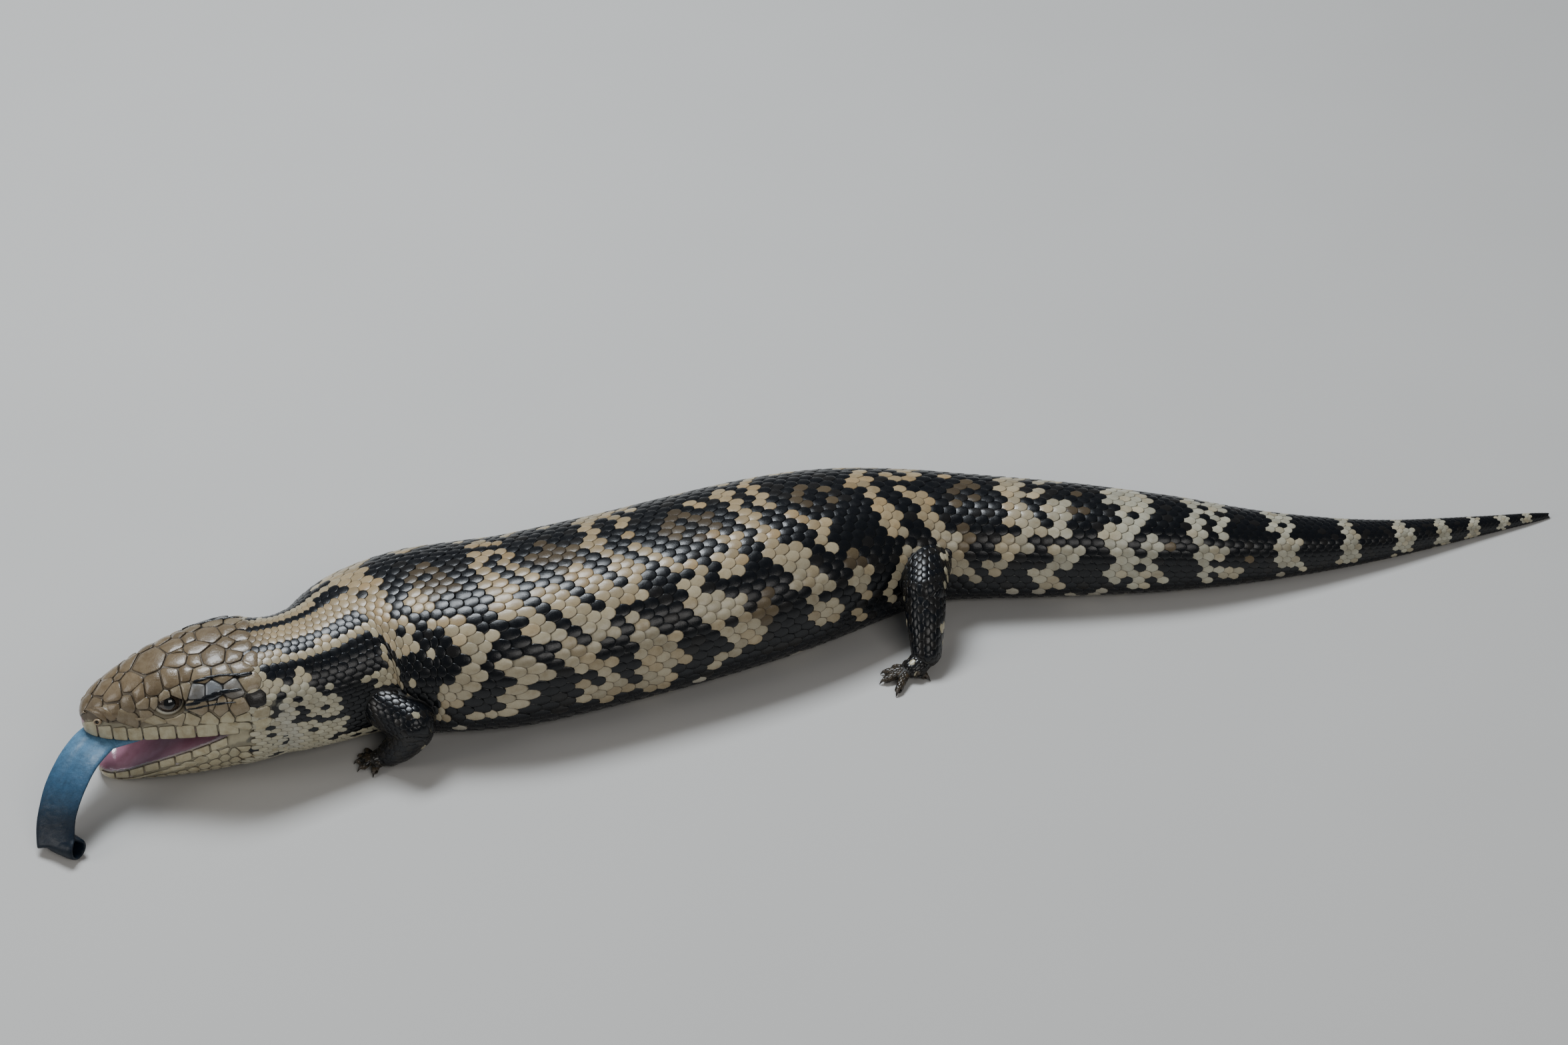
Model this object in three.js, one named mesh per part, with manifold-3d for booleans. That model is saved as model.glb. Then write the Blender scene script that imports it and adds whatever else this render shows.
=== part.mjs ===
// Blue-tongued skink, life size, lying at rest with its mouth open and its tongue out.
// Millimetres, +Z up, floor at z = 0. The head is toward -X and the animal's left side toward -Y.
import * as THREE from "three";
import Module from "manifold-3d";

const wasm = await Module();
wasm.setup();
const { Manifold, Mesh: SolidMesh } = wasm;

// Sizes of the whole animal.
const middle = [18.53, -71.14];
const gap = 0.3;
const headLength = 58;
const bodyEnd = 503;
const sideFaces = 28;

// Line of the spine in plan. The head is straight, then the neck bends once each way.
const headTurn = THREE.MathUtils.degToRad(16);
const snout = [-215.5, -127];
const alongHead = (d) => [snout[0] + d * Math.cos(headTurn), snout[1] + d * Math.sin(headTurn)];
const spinePoints = [
  alongHead(0), alongHead(20), alongHead(40), alongHead(58),
  [-146, -103.2], [-132, -91.8], [-115.5, -85.8], [-98, -83], [-82, -79.5], [-49, -67],
  [-15, -52], [19, -36], [37.5, -29.5], [55, -26.8], [91, -27], [126, -26.6],
  [162, -23.5], [199, -16.4], [237, -5], [262, 3],
];

// Body sizes by distance from the snout: half width, height, lift of the underside.
const bodySizes = [
  [58, 21.4, 37.1, 4.8], [66, 21.6, 37.3, 3.9], [75, 22.8, 38.4, 2.6], [85, 26.2, 41, 0.8],
  [93, 29.5, 43.3, -0.6], [110, 32.5, 45, -0.8], [140, 34, 45.5, -0.8], [190, 34, 45, -0.8],
  [216, 33.4, 44.5, -0.8], [235, 32, 43.5, -0.8], [255, 29, 41, -0.8], [274, 25, 37.5, -0.8],
  [292, 22.1, 34.5, -0.7], [327, 19.5, 32, -0.6], [363, 16.2, 27.3, -0.5], [399, 11.3, 19.4, -0.45],
  [437, 6.6, 11.9, -0.4], [477, 3, 5.6, -0.3], [496, 1.5, 2.8, -0.2], [503, 0.7, 1.4, -0.1],
];
const backSquareness = 2.35;
const bellySquareness = 2.8;
const widestHeight = 0.42;

// Head sizes by distance from the snout: half width at the lip, top, squareness, share of the width kept at the top.
const headSizes = [
  [0, 2.6, 25.4, 2.2, 1], [1, 4.8, 27.8, 2.2, 1], [3, 7.1, 29.8, 2.3, 0.98], [6, 9.3, 32.1, 2.5, 0.94],
  [10, 11.2, 34.8, 2.6, 0.9], [16, 13.4, 38, 2.8, 0.85], [22, 15.4, 40.5, 3, 0.82], [28, 17.4, 41.9, 3, 0.84],
  [35, 19.6, 42.5, 3, 0.9], [42, 21.4, 42.7, 2.9, 0.94], [48, 22.2, 42.4, 2.8, 0.97], [54, 21.9, 42.1, 2.5, 1],
  [58, 21.4, 41.9, 2.35, 1],
];
// Height of the upper lip by distance from the snout.
const lipHeights = [[0, 21.3], [12, 21.4], [24, 22.4], [35, 23.6], [45, 24.6], [58, 24.6]];

// Lower jaw sizes by distance from the snout: half width, underside, squareness.
const jawStart = 2.6;
const jawTipHeight = 4.6;
const jawSlope = 0.469;
const jawSizes = [
  [2.6, 2.8, 1.4, 2], [3.7, 5.4, 0.9, 2.05], [6, 8.3, 0.7, 2.15], [9, 10.2, 0.6, 2.2], [12, 11.7, 0.6, 2.25],
  [18, 13.9, 0.6, 2.3], [25, 16.5, 0.7, 2.35], [35, 19.5, 1.1, 2.4], [45, 21.4, 2.4, 2.55], [52, 21.8, 3.7, 2.7],
  [58, 21.4, 4.8, 2.8],
];
const mouthCorner = 45;
const lipWidth = 1.9;

// Eye, ear and nostril.
const eye = { along: 26.5, side: 9.7, height: 31.9, radius: 4.6 };
const ear = { along: 55.2, side: 21.9, height: 30, radii: [1.7, 2.2, 4] };
const nostril = { along: 4.6, side: 7.1, height: 25.8, radii: [1.1, 1.4, 0.9] };

// Smooth value of one column of a table at a place along it.
function sizeAt(rows, place, column) {
  const last = rows.length - 1;
  if (place <= rows[0][0]) return rows[0][column];
  if (place >= rows[last][0]) return rows[last][column];
  let i = 0;
  while (place > rows[i + 1][0]) i++;
  const rise = (k) => (rows[k + 1][column] - rows[k][column]) / (rows[k + 1][0] - rows[k][0]);
  const slopeAt = (k) => {
    if (k === 0) return rise(0);
    if (k === last) return rise(last - 1);
    const before = rise(k - 1), after = rise(k);
    return before * after <= 0 ? 0 : (2 * before * after) / (before + after);
  };
  const width = rows[i + 1][0] - rows[i][0];
  const t = (place - rows[i][0]) / width;
  const a = 2 * t ** 3 - 3 * t ** 2 + 1;
  const b = t ** 3 - 2 * t ** 2 + t;
  const c = t ** 3 - t ** 2;
  return a * rows[i][column] + b * width * slopeAt(i) + (1 - a) * rows[i + 1][column] + c * width * slopeAt(i + 1);
}

// The spine as a curve walked by length.
class Spine {
  constructor(points) {
    const ends = [
      [2 * points[0][0] - points[1][0], 2 * points[0][1] - points[1][1]],
      [2 * points.at(-1)[0] - points.at(-2)[0], 2 * points.at(-1)[1] - points.at(-2)[1]],
    ];
    const all = [ends[0], ...points, ends[1]];
    this.walk = [];
    const steps = 40;
    for (let i = 0; i < points.length - 1; i++)
      for (let k = 0; k < steps; k++) this.walk.push(Spine.between(all, i, k / steps));
    this.walk.push(points.at(-1));
    this.length = [0];
    for (let i = 1; i < this.walk.length; i++) {
      const [a, b] = [this.walk[i - 1], this.walk[i]];
      this.length.push(this.length[i - 1] + Math.hypot(b[0] - a[0], b[1] - a[1]));
    }
  }
  static between(all, i, w) {
    return [0, 1].map((k) => {
      const [p, q, r, s] = [all[i][k], all[i + 1][k], all[i + 2][k], all[i + 3][k]];
      const [u, v] = [(r - p) / 2, (s - q) / 2];
      return (2 * q - 2 * r + u + v) * w ** 3 + (-3 * q + 3 * r - 2 * u - v) * w ** 2 + u * w + q;
    });
  }
  at(place) {
    let i = 1;
    while (i < this.length.length - 1 && this.length[i] < place) i++;
    const w = (place - this.length[i - 1]) / (this.length[i] - this.length[i - 1]);
    const [a, b] = [this.walk[i - 1], this.walk[i]];
    return [a[0] + w * (b[0] - a[0]), a[1] + w * (b[1] - a[1])];
  }
  // The animal's left at a place, as a unit vector in plan.
  left(place) {
    const [a, b] = [this.at(place - 1), this.at(place + 1)];
    const size = Math.hypot(b[0] - a[0], b[1] - a[1]);
    return [(b[1] - a[1]) / size, -(b[0] - a[0]) / size];
  }
  // A point by distance from the snout, distance to the animal's left, and height.
  point(place, side, height) {
    const [x, y] = this.at(place);
    const [u, v] = this.left(place);
    return [x + side * u, y + side * v, height];
  }
}
const spine = new Spine(spinePoints);

// A closed mesh through rings of points that go round the same way.
function loft(rings) {
  const n = rings[0].length;
  const points = rings.flat();
  const faces = [];
  for (let i = 0; i < rings.length - 1; i++)
    for (let k = 0; k < n; k++) {
      const a = i * n + k, b = i * n + ((k + 1) % n);
      faces.push([a, b, b + n], [a, b + n, a + n]);
    }
  for (const [i, turned] of [[0, true], [rings.length - 1, false]]) {
    const middlePoint = [0, 1, 2].map((c) => rings[i].reduce((sum, p) => sum + p[c], 0) / n);
    const m = points.length;
    points.push(middlePoint);
    for (let k = 0; k < n; k++) {
      const a = i * n + k, b = i * n + ((k + 1) % n);
      faces.push(turned ? [m, b, a] : [m, a, b]);
    }
  }
  return solid(points, faces);
}

// A solid from points and faces, turned outward when its faces point in.
function solid(points, faces) {
  const make = (list) => new Manifold(new SolidMesh({
    numProp: 3,
    vertProperties: new Float32Array(points.flat()),
    triVerts: new Uint32Array(list.flat()),
  }));
  const made = make(faces);
  return made.volume() < 0 ? make(faces.map(([a, b, c]) => [a, c, b])) : made;
}

// A three.js geometry as a solid.
function solidOf(geometry) {
  const place = geometry.getAttribute("position");
  const seen = new Map();
  const points = [];
  const index = [];
  for (let i = 0; i < place.count; i++) {
    const p = [place.getX(i), place.getY(i), place.getZ(i)];
    const key = p.map((v) => Math.round(v * 1e4)).join();
    if (!seen.has(key)) {
      seen.set(key, points.length);
      points.push(p);
    }
    index.push(seen.get(key));
  }
  const corners = geometry.index ? Array.from(geometry.index.array, (i) => index[i]) : index;
  const faces = [];
  for (let i = 0; i < corners.length; i += 3) {
    const [a, b, c] = corners.slice(i, i + 3);
    if (a !== b && b !== c && a !== c) faces.push([a, b, c]);
  }
  return solid(points, faces);
}

// Half of a rounded section, from one side over to the other: pairs of side and height shares.
function arch(count, squareness) {
  const list = [];
  for (let i = 0; i <= count; i++) {
    const t = (Math.PI * i) / count;
    const power = 2 / squareness;
    list.push([Math.sign(Math.cos(t)) * Math.abs(Math.cos(t)) ** power, Math.abs(Math.sin(t)) ** power]);
  }
  return list;
}

// One ring of neck, trunk or tail. `grown` makes it larger all round.
function bodyRing(place, grown = 0) {
  const halfWidth = sizeAt(bodySizes, place, 1) + grown;
  const height = sizeAt(bodySizes, place, 2);
  const lift = sizeAt(bodySizes, place, 3);
  const waist = lift + widestHeight * height;
  const up = (1 - widestHeight) * height + grown;
  const down = widestHeight * height + grown;
  const half = sideFaces / 2;
  const over = arch(half, backSquareness).map(([c, s]) => [c * halfWidth, waist + s * up]);
  const under = arch(half, bellySquareness).map(([c, s]) => [-c * halfWidth, waist - s * down]);
  const outline = [...over.slice(0, -1), ...under.slice(0, -1)];
  return outline.map(([side, z]) => spine.point(place, side, grown ? z : Math.max(z, 0)));
}

function places(from, to, step) {
  const count = Math.max(1, Math.round((to - from) / step));
  return Array.from({ length: count + 1 }, (_, i) => from + ((to - from) * i) / count);
}

// Upper part of the head, down to the lip, with an arched palate.
function headRing(d) {
  const [halfWidth, top, squareness, kept] = [1, 2, 3, 4].map((column) => sizeAt(headSizes, d, column));
  const rim = sizeAt(lipHeights, d, 1);
  const over = arch(22, squareness).map(([c, s]) => [c * halfWidth * (1 - (1 - kept) * s), rim + s * (top - rim)]);
  const inner = Math.max(halfWidth - lipWidth, halfWidth * 0.45);
  const roof = 2.6 * THREE.MathUtils.smoothstep(mouthCorner - d, 0, 9) * Math.min(1, d / 6);
  const palate = hollowRow(8).map(([c, s]) => [-c * inner, rim + roof * s]);
  return [...over, ...palate].map(([side, z]) => spine.point(d, side, z));
}

// Lower jaw: rounded below, with a rim and a hollow for the tongue.
function jawRing(d) {
  const [halfWidth, under, squareness] = [1, 2, 3].map((column) => sizeAt(jawSizes, d, column));
  const rim = Math.min(jawTipHeight + (d - jawStart) * jawSlope, sizeAt(lipHeights, d, 1) - gap);
  const below = arch(20, squareness).map(([c, s]) => [-c * halfWidth, rim - s * (rim - under)]);
  const inner = Math.max(halfWidth - lipWidth, halfWidth * 0.4);
  const deep = 3.6 * THREE.MathUtils.smoothstep(mouthCorner - 1 - d, 0, 8) * THREE.MathUtils.smoothstep(d, 3.2, 9);
  const hollow = Math.min(deep, 0.5 * (rim - under));
  const bed = hollowRow(8).map(([c, s]) => [c * inner, rim - hollow * s]);
  return [...below, ...bed].map(([side, z]) => spine.point(d, side, z));
}

// Points over a shallow round hollow: pairs of side and depth shares.
function hollowRow(count) {
  return Array.from({ length: count + 1 }, (_, i) => [Math.cos((Math.PI * i) / count), Math.sin((Math.PI * i) / count)]);
}

// A limb length through points with radii, rounded at both ends.
function limb(stations, faces = 12, flat = 1, spanSteps = 3) {
  const path = new THREE.CatmullRomCurve3(stations.map(([p]) => new THREE.Vector3(...p)), false, "centripetal");
  const last = stations.length - 1;
  const radiusAt = (t) => sizeAt(stations.map(([, r], i) => [i / last, r]), t, 1);
  const steps = last * spanSteps;
  const rings = [];
  const ring = (centre, along, radius) => {
    const side = new THREE.Vector3(0, 0, 1).cross(along);
    if (side.lengthSq() < 1e-4) side.set(1, 0, 0);
    side.normalize();
    const up = along.clone().cross(side).normalize();
    const list = [];
    for (let k = 0; k < faces; k++) {
      const a = (2 * Math.PI * k) / faces;
      const p = centre.clone().addScaledVector(side, radius * Math.cos(a)).addScaledVector(up, flat * radius * Math.sin(a));
      list.push(p.toArray());
    }
    return list;
  };
  const cap = [0.25, 0.8];
  const first = path.getTangent(0), end = path.getTangent(1);
  for (const c of cap) {
    const back = radiusAt(0) * Math.sqrt(1 - c * c);
    rings.push(ring(path.getPoint(0).addScaledVector(first, -back), first, radiusAt(0) * c));
  }
  for (let i = 0; i <= steps; i++) {
    const t = i / steps;
    rings.push(ring(path.getPoint(t), path.getTangent(t), radiusAt(t)));
  }
  for (const c of [...cap].reverse()) {
    const ahead = radiusAt(1) * Math.sqrt(1 - c * c);
    rings.push(ring(path.getPoint(1).addScaledVector(end, ahead), end, radiusAt(1) * c));
  }
  return loft(rings);
}

const grownStations = (stations) => stations.map(([p, r]) => [p, r + gap]);
const lerp = (a, b, t) => a.map((v, i) => v + (b[i] - v) * t);

const floorBox = solidOf(new THREE.BoxGeometry(700, 500, 40).translate(middle[0], middle[1], -20));
const lengths = [
  ["neck", headLength, 78, 5],
  ["trunk_front", 78, 150, 7],
  ["trunk_middle", 150, 218, 9],
  ["trunk_rear", 218, 292, 8],
  ["tail_base", 292, 345, 9],
  ["tail_middle", 345, 399, 9],
  ["tail_rear", 399, 450, 9],
  ["tail_tip", 450, bodyEnd, 8],
];
const lengthPlaces = ([name, from, to, step]) =>
  places(from + gap / 2, name === "tail_tip" ? to : to - gap / 2, step);
const bodyCutter = loft(lengths.flatMap(lengthPlaces).map((place) => bodyRing(place, gap)));

// The largest closed body of a solid.
const largest = (made) => made.decompose().sort((a, b) => b.volume() - a.volume())[0];

// Hand or foot: a palm and five tapered digits that each end in a claw. `tips` are the points of the claws.
function paw({ wrist, palm, tips, thickness, claw, side }) {
  const heel = [[wrist, thickness * 1.45], [lerp(wrist, palm, 0.6), thickness * 1.75], [palm, thickness * 1.5]];
  const across = new THREE.Vector3(wrist[1] - palm[1], palm[0] - wrist[0], 0).normalize();
  let made = limb(heel, 10, 0.8, 2);
  tips.forEach(([x, y], i) => {
    const spread = side * (i / 2 - 1) * thickness * 1.3;
    const root = [palm[0] + across.x * spread, palm[1] + across.y * spread, palm[2] * 0.75 + 0.3];
    const reach = new THREE.Vector3(x - root[0], y - root[1], 0).normalize();
    const onReach = (back, z) => [x - reach.x * back, y - reach.y * back, z];
    const length = Math.hypot(x - root[0], y - root[1]);
    const r = thickness * 0.6;
    const knuckle = onReach(claw + (length - claw) * 0.5, r + 0.9);
    made = made.add(limb([
      [root, r * 1.15], [knuckle, r], [onReach(claw + 0.3, r * 0.9), r * 0.85],
      [onReach(claw - 0.4, r * 0.95), r * 0.5], [onReach(claw * 0.45, r * 0.8), r * 0.34], [onReach(0.1, 0.3), 0.14],
    ], 7, 1, 2));
  });
  return made.subtract(floorBox);
}

// Each limb is an upper length, a lower length and a paw.
const limbs = {
  front_left: {
    names: ["upper_arm_left", "forearm_left", "hand_left"],
    upper: [[[-131, -106, 19], 7.4], [[-124, -115.5, 18.5], 7], [[-115, -121.2, 16], 7.2]],
    lower: [[[-115, -121.6, 13.5], 6.5], [[-118.5, -122.4, 8.5], 5.3], [[-122.5, -122.4, 4.6], 4.1]],
    paw: {
      wrist: [-122.5, -122.4, 4], palm: [-126, -122.3, 2.8], thickness: 2, claw: 1.9, side: -1,
      tips: [[-131.5, -116.2], [-133.6, -119.2], [-134.3, -122.6], [-132.8, -126.4], [-127.6, -129]],
    },
  },
  front_right: {
    names: ["upper_arm_right", "forearm_right", "hand_right"],
    upper: [[[-128, -80, 19], 7.4], [[-130, -68, 18], 7], [[-126, -57, 15.5], 7]],
    lower: [[[-126, -56, 13.5], 6.4], [[-132, -53.5, 8.5], 5.2], [[-139, -52, 4.6], 4.1]],
    paw: {
      wrist: [-139, -52, 4], palm: [-143.5, -51.5, 2.8], thickness: 2, claw: 1.9, side: 1,
      tips: [[-146, -58], [-150, -55], [-151.5, -51.2], [-150, -47.2], [-145, -44.6]],
    },
  },
  hind_left: {
    names: ["thigh_left", "shank_left", "foot_left"],
    upper: [[[47, -42, 19], 8.6], [[46, -52, 20.5], 8], [[45.6, -60.5, 19.5], 7.2]],
    lower: [[[45.6, -61.5, 18], 6.8], [[45.8, -69, 12.5], 6], [[46, -75.5, 6], 4.8]],
    paw: {
      wrist: [46, -76.2, 4.4], palm: [41.5, -80, 3], thickness: 2.2, claw: 2.2, side: -1,
      tips: [[34.5, -76.6], [31, -79.8], [30.6, -84.8], [35.8, -91], [47.2, -83.2]],
    },
  },
  hind_right: {
    names: ["thigh_right", "shank_right", "foot_right"],
    upper: [[[46, -14, 14], 8.2], [[41, -4, 12.5], 7.4], [[33, 3.5, 10.5], 6.6]],
    lower: [[[34, 5, 9.5], 6.2], [[41, 9.5, 7.6], 5.4], [[47.5, 12.5, 5.2], 4.5]],
    paw: {
      wrist: [47, 13.4, 4.2], palm: [42.5, 16.4, 3], thickness: 2.2, claw: 2.2, side: 1,
      tips: [[35, 12.4], [31.8, 15.8], [31.4, 20.2], [35.6, 25.4], [47, 22.8]],
    },
  },
};

// Tongue: a broad ribbon from the floor of the mouth over the left lip, down, and rolled at its tip.
const tongueSizes = { rootHalfWidth: 7, exitHalfWidth: 7.5, tipHalfWidth: 6.2, halfThickness: 1.35, tipHalfThickness: 0.85 };
const tongueRoot = [[36, 0, 19.4], [30.5, 0.2, 18.9], [24, 0.8, 18.5], [17, 2.2, 18.8], [10.5, 4, 19.3]]
  .map(([d, side, z]) => spine.point(d, side, z));
const tongueOut = [[-209.9, -131.8, 19.2], [-214.4, -140.4, 18], [-217.8, -149, 14.2], [-219.6, -157.2, 8.8]];
const rollMiddle = [-217.2, -161.4, 3.95];
const rollTurn = THREE.MathUtils.degToRad(-32);
const rollRadii = [3.4, 2.05];
const rollAngle = THREE.MathUtils.degToRad(300);
const rollStart = 26;

// Centre line of the tongue, from its root to the inside of the roll.
function tonguePath() {
  const forward = new THREE.Vector3(Math.sin(rollTurn), -Math.cos(rollTurn), 0);
  const roll = Array.from({ length: 15 }, (_, i) => {
    const angle = (rollAngle * i) / 14;
    const radius = THREE.MathUtils.lerp(...rollRadii, i / 14);
    return new THREE.Vector3(...rollMiddle)
      .addScaledVector(forward, radius * Math.cos(angle))
      .add(new THREE.Vector3(0, 0, -radius * Math.sin(angle)));
  });
  const lead = [...tongueRoot, ...tongueOut].map((p) => new THREE.Vector3(...p));
  const path = new THREE.CatmullRomCurve3([...lead, roll[0], roll[1]], false, "centripetal");
  const leadShare = lead.length / (lead.length + 1);
  const first = Array.from({ length: rollStart }, (_, i) => path.getPoint((leadShare * i) / rollStart));
  return [...first, ...roll];
}

function makeTongue() {
  const { lerp: mix, smoothstep } = THREE.MathUtils;
  const { rootHalfWidth, exitHalfWidth, tipHalfWidth, halfThickness, tipHalfThickness } = tongueSizes;
  const centres = tonguePath();
  const count = centres.length - 1;
  return loft(centres.map((p, i) => {
    const along = centres[Math.min(count, i + 1)].clone().sub(centres[Math.max(0, i - 1)]).normalize();
    const yaw = mix(headTurn - Math.PI / 2, rollTurn, smoothstep(i, 8, 17));
    const across = new THREE.Vector3(Math.cos(yaw), Math.sin(yaw), 0);
    across.addScaledVector(along, -across.dot(along)).normalize();
    const normal = across.clone().cross(along).normalize();
    const t = i / count;
    const ends = Math.sqrt(1 - 0.8 * smoothstep(t, 0.92, 1)) * Math.sqrt(1 - 0.7 * (1 - smoothstep(t, 0, 0.06)));
    const width = ends * mix(mix(rootHalfWidth, exitHalfWidth, Math.min(1, t / 0.3)), tipHalfWidth, Math.max(0, t - 0.3) / 0.7);
    const outerKept = 1 - 0.25 * smoothstep(i, rollStart - 2, rollStart + 7);
    const thick = mix(halfThickness, tipHalfThickness, smoothstep(t, 0.3, 0.75));
    return Array.from({ length: 14 }, (_, k) => {
      const a = (2 * Math.PI * k) / 14;
      const rounded = (v) => Math.sign(v) * Math.abs(v) ** 0.72;
      const kept = Math.cos(a) < 0 ? outerKept : 1;
      const q = p.clone().addScaledVector(across, rounded(Math.cos(a)) * width * kept)
        .addScaledVector(normal, rounded(Math.sin(a)) * thick);
      return [q.x, q.y, Math.max(0, q.z)];
    });
  }));
}

function ball(centre, radii, wide = 16, high = 10) {
  const shape = new THREE.SphereGeometry(1, wide, high);
  shape.scale(...radii);
  shape.rotateZ(headTurn);
  shape.translate(...centre);
  return solidOf(shape);
}

const headStations = [0, 1, 3, 6, 9, 12, 15, 18, 21, 24, 27, 31, 35, 40, 44, 48, 53, headLength - gap / 2];
const jawStations = [jawStart, 3.7, 6, 9, 12, 16, 21, 26, 31, 36, 40, 43, 46, 52, headLength - gap / 2];

function makeHead() {
  let made = loft(headStations.map((d) => headRing(d)));
  for (const side of [1, -1]) {
    const eyeCentre = spine.point(eye.along, side * eye.side, eye.height);
    const lid = new THREE.TorusGeometry(3.9, 0.75, 6, 18);
    lid.scale(1.06, 0.8, 1);
    const facing = new THREE.Object3D();
    const out = spine.point(eye.along - 0.6, side * (eye.side + 6), eye.height + 1.6);
    facing.position.set(...spine.point(eye.along - 0.1, side * (eye.side + 2.9), eye.height + 0.55));
    facing.up.set(0, 0, 1);
    facing.lookAt(...out);
    facing.updateMatrix();
    lid.applyMatrix4(facing.matrix);
    made = made.add(solidOf(lid));
    made = made.subtract(ball(eyeCentre, [eye.radius + gap, eye.radius + gap, eye.radius + gap]));
    made = made.subtract(ball(spine.point(ear.along, side * ear.side, ear.height), ear.radii, 12, 8));
    made = made.subtract(ball(spine.point(nostril.along, side * nostril.side, nostril.height), nostril.radii, 10, 6));
  }
  return largest(made);
}

const meshes = [];
function addMesh(name, made, colour) {
  const shape = made.getMesh();
  const place = new Float32Array(shape.numVert * 3);
  for (let i = 0; i < shape.numVert; i++) {
    place[i * 3] = shape.vertProperties[i * shape.numProp] - middle[0];
    place[i * 3 + 1] = shape.vertProperties[i * shape.numProp + 1] - middle[1];
    place[i * 3 + 2] = shape.vertProperties[i * shape.numProp + 2];
  }
  const geometry = new THREE.BufferGeometry();
  geometry.setAttribute("position", new THREE.BufferAttribute(place, 3));
  geometry.setIndex(new THREE.BufferAttribute(new Uint32Array(shape.triVerts), 1));
  geometry.computeVertexNormals();
  const mesh = new THREE.Mesh(geometry, new THREE.MeshStandardMaterial({ color: colour, roughness: 0.45 }));
  mesh.name = name;
  meshes.push(mesh);
}

const colours = {
  head: 0xa08a66, jaw: 0xcfc7ae, tongue: 0x5d8fb8, eye: 0x17130f,
  neck: 0xb39b77, trunk: 0x8d8471, tail: 0xb8b6a4, limb: 0x1b1b1f,
};

addMesh("head", makeHead(), colours.head);
addMesh("lower_jaw", loft(jawStations.map((d) => jawRing(d))), colours.jaw);
addMesh("tongue", makeTongue(), colours.tongue);
for (const [name, side] of [["eye_left", 1], ["eye_right", -1]])
  addMesh(name, ball(spine.point(eye.along, side * eye.side, eye.height), [eye.radius, eye.radius, eye.radius]), colours.eye);

for (const length of lengths)
  addMesh(length[0], loft(lengthPlaces(length).map((place) => bodyRing(place))), colours[length[0].split("_")[0]]);

for (const { names, upper, lower, paw: foot } of Object.values(limbs)) {
  const upperMade = limb(upper).subtract(bodyCutter).subtract(floorBox);
  const lowerMade = limb(lower).subtract(limb(grownStations(upper))).subtract(bodyCutter).subtract(floorBox);
  const pawMade = paw(foot).subtract(limb(grownStations(lower))).subtract(bodyCutter).subtract(limb(grownStations(upper)));
  addMesh(names[0], largest(upperMade), colours.limb);
  addMesh(names[1], largest(lowerMade), colours.limb);
  addMesh(names[2], largest(pawMade), colours.limb);
}

const part = new THREE.Group();
part.name = "blue_tongued_skink";
part.add(...meshes);
export default part;
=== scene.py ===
"""Blue-tongued skink, life size, as a still display model on a plain floor.

Lengths in the tables and in the shape functions are millimetres."""
import math

import bpy
import numpy as np
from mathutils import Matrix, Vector


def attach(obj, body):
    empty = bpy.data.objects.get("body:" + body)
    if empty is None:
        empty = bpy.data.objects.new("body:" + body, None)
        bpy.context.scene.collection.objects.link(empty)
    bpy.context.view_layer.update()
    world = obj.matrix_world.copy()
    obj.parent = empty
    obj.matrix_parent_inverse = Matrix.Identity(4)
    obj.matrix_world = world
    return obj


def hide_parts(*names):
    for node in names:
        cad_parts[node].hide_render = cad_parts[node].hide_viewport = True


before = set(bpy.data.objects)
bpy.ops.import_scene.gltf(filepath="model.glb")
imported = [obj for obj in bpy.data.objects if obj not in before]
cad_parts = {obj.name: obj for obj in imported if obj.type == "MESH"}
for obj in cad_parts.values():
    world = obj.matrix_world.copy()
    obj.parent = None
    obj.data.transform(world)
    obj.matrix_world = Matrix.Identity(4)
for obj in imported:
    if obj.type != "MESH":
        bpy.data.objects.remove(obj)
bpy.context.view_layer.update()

# Shape of the animal, as in the solids

MIDDLE = np.array([18.53, -71.14, 0.0])
BODY_END = 503.0
HEAD_TURN = math.radians(16)
SNOUT = np.array([-215.5, -127.0])


def along_head(d):
    return SNOUT + d * np.array([math.cos(HEAD_TURN), math.sin(HEAD_TURN)])


SPINE_POINTS = [
    *(along_head(d) for d in (0, 20, 40, 58)),
    (-146, -103.2), (-132, -91.8), (-115.5, -85.8), (-98, -83), (-82, -79.5), (-49, -67),
    (-15, -52), (19, -36), (37.5, -29.5), (55, -26.8), (91, -27), (126, -26.6),
    (162, -23.5), (199, -16.4), (237, -5), (262, 3),
]

# Distance from the snout: half width, height, lift of the underside.
BODY_SIZES = np.array([
    (58, 21.4, 37.1, 4.8), (66, 21.6, 37.3, 3.9), (75, 22.8, 38.4, 2.6), (85, 26.2, 41, 0.8),
    (93, 29.5, 43.3, -0.6), (110, 32.5, 45, -0.8), (140, 34, 45.5, -0.8), (190, 34, 45, -0.8),
    (216, 33.4, 44.5, -0.8), (235, 32, 43.5, -0.8), (255, 29, 41, -0.8), (274, 25, 37.5, -0.8),
    (292, 22.1, 34.5, -0.7), (327, 19.5, 32, -0.6), (363, 16.2, 27.3, -0.5), (399, 11.3, 19.4, -0.45),
    (437, 6.6, 11.9, -0.4), (477, 3, 5.6, -0.3), (496, 1.5, 2.8, -0.2), (503, 0.7, 1.4, -0.1),
])
BACK_SQUARENESS, BELLY_SQUARENESS, WIDEST = 2.35, 2.8, 0.42

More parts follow.
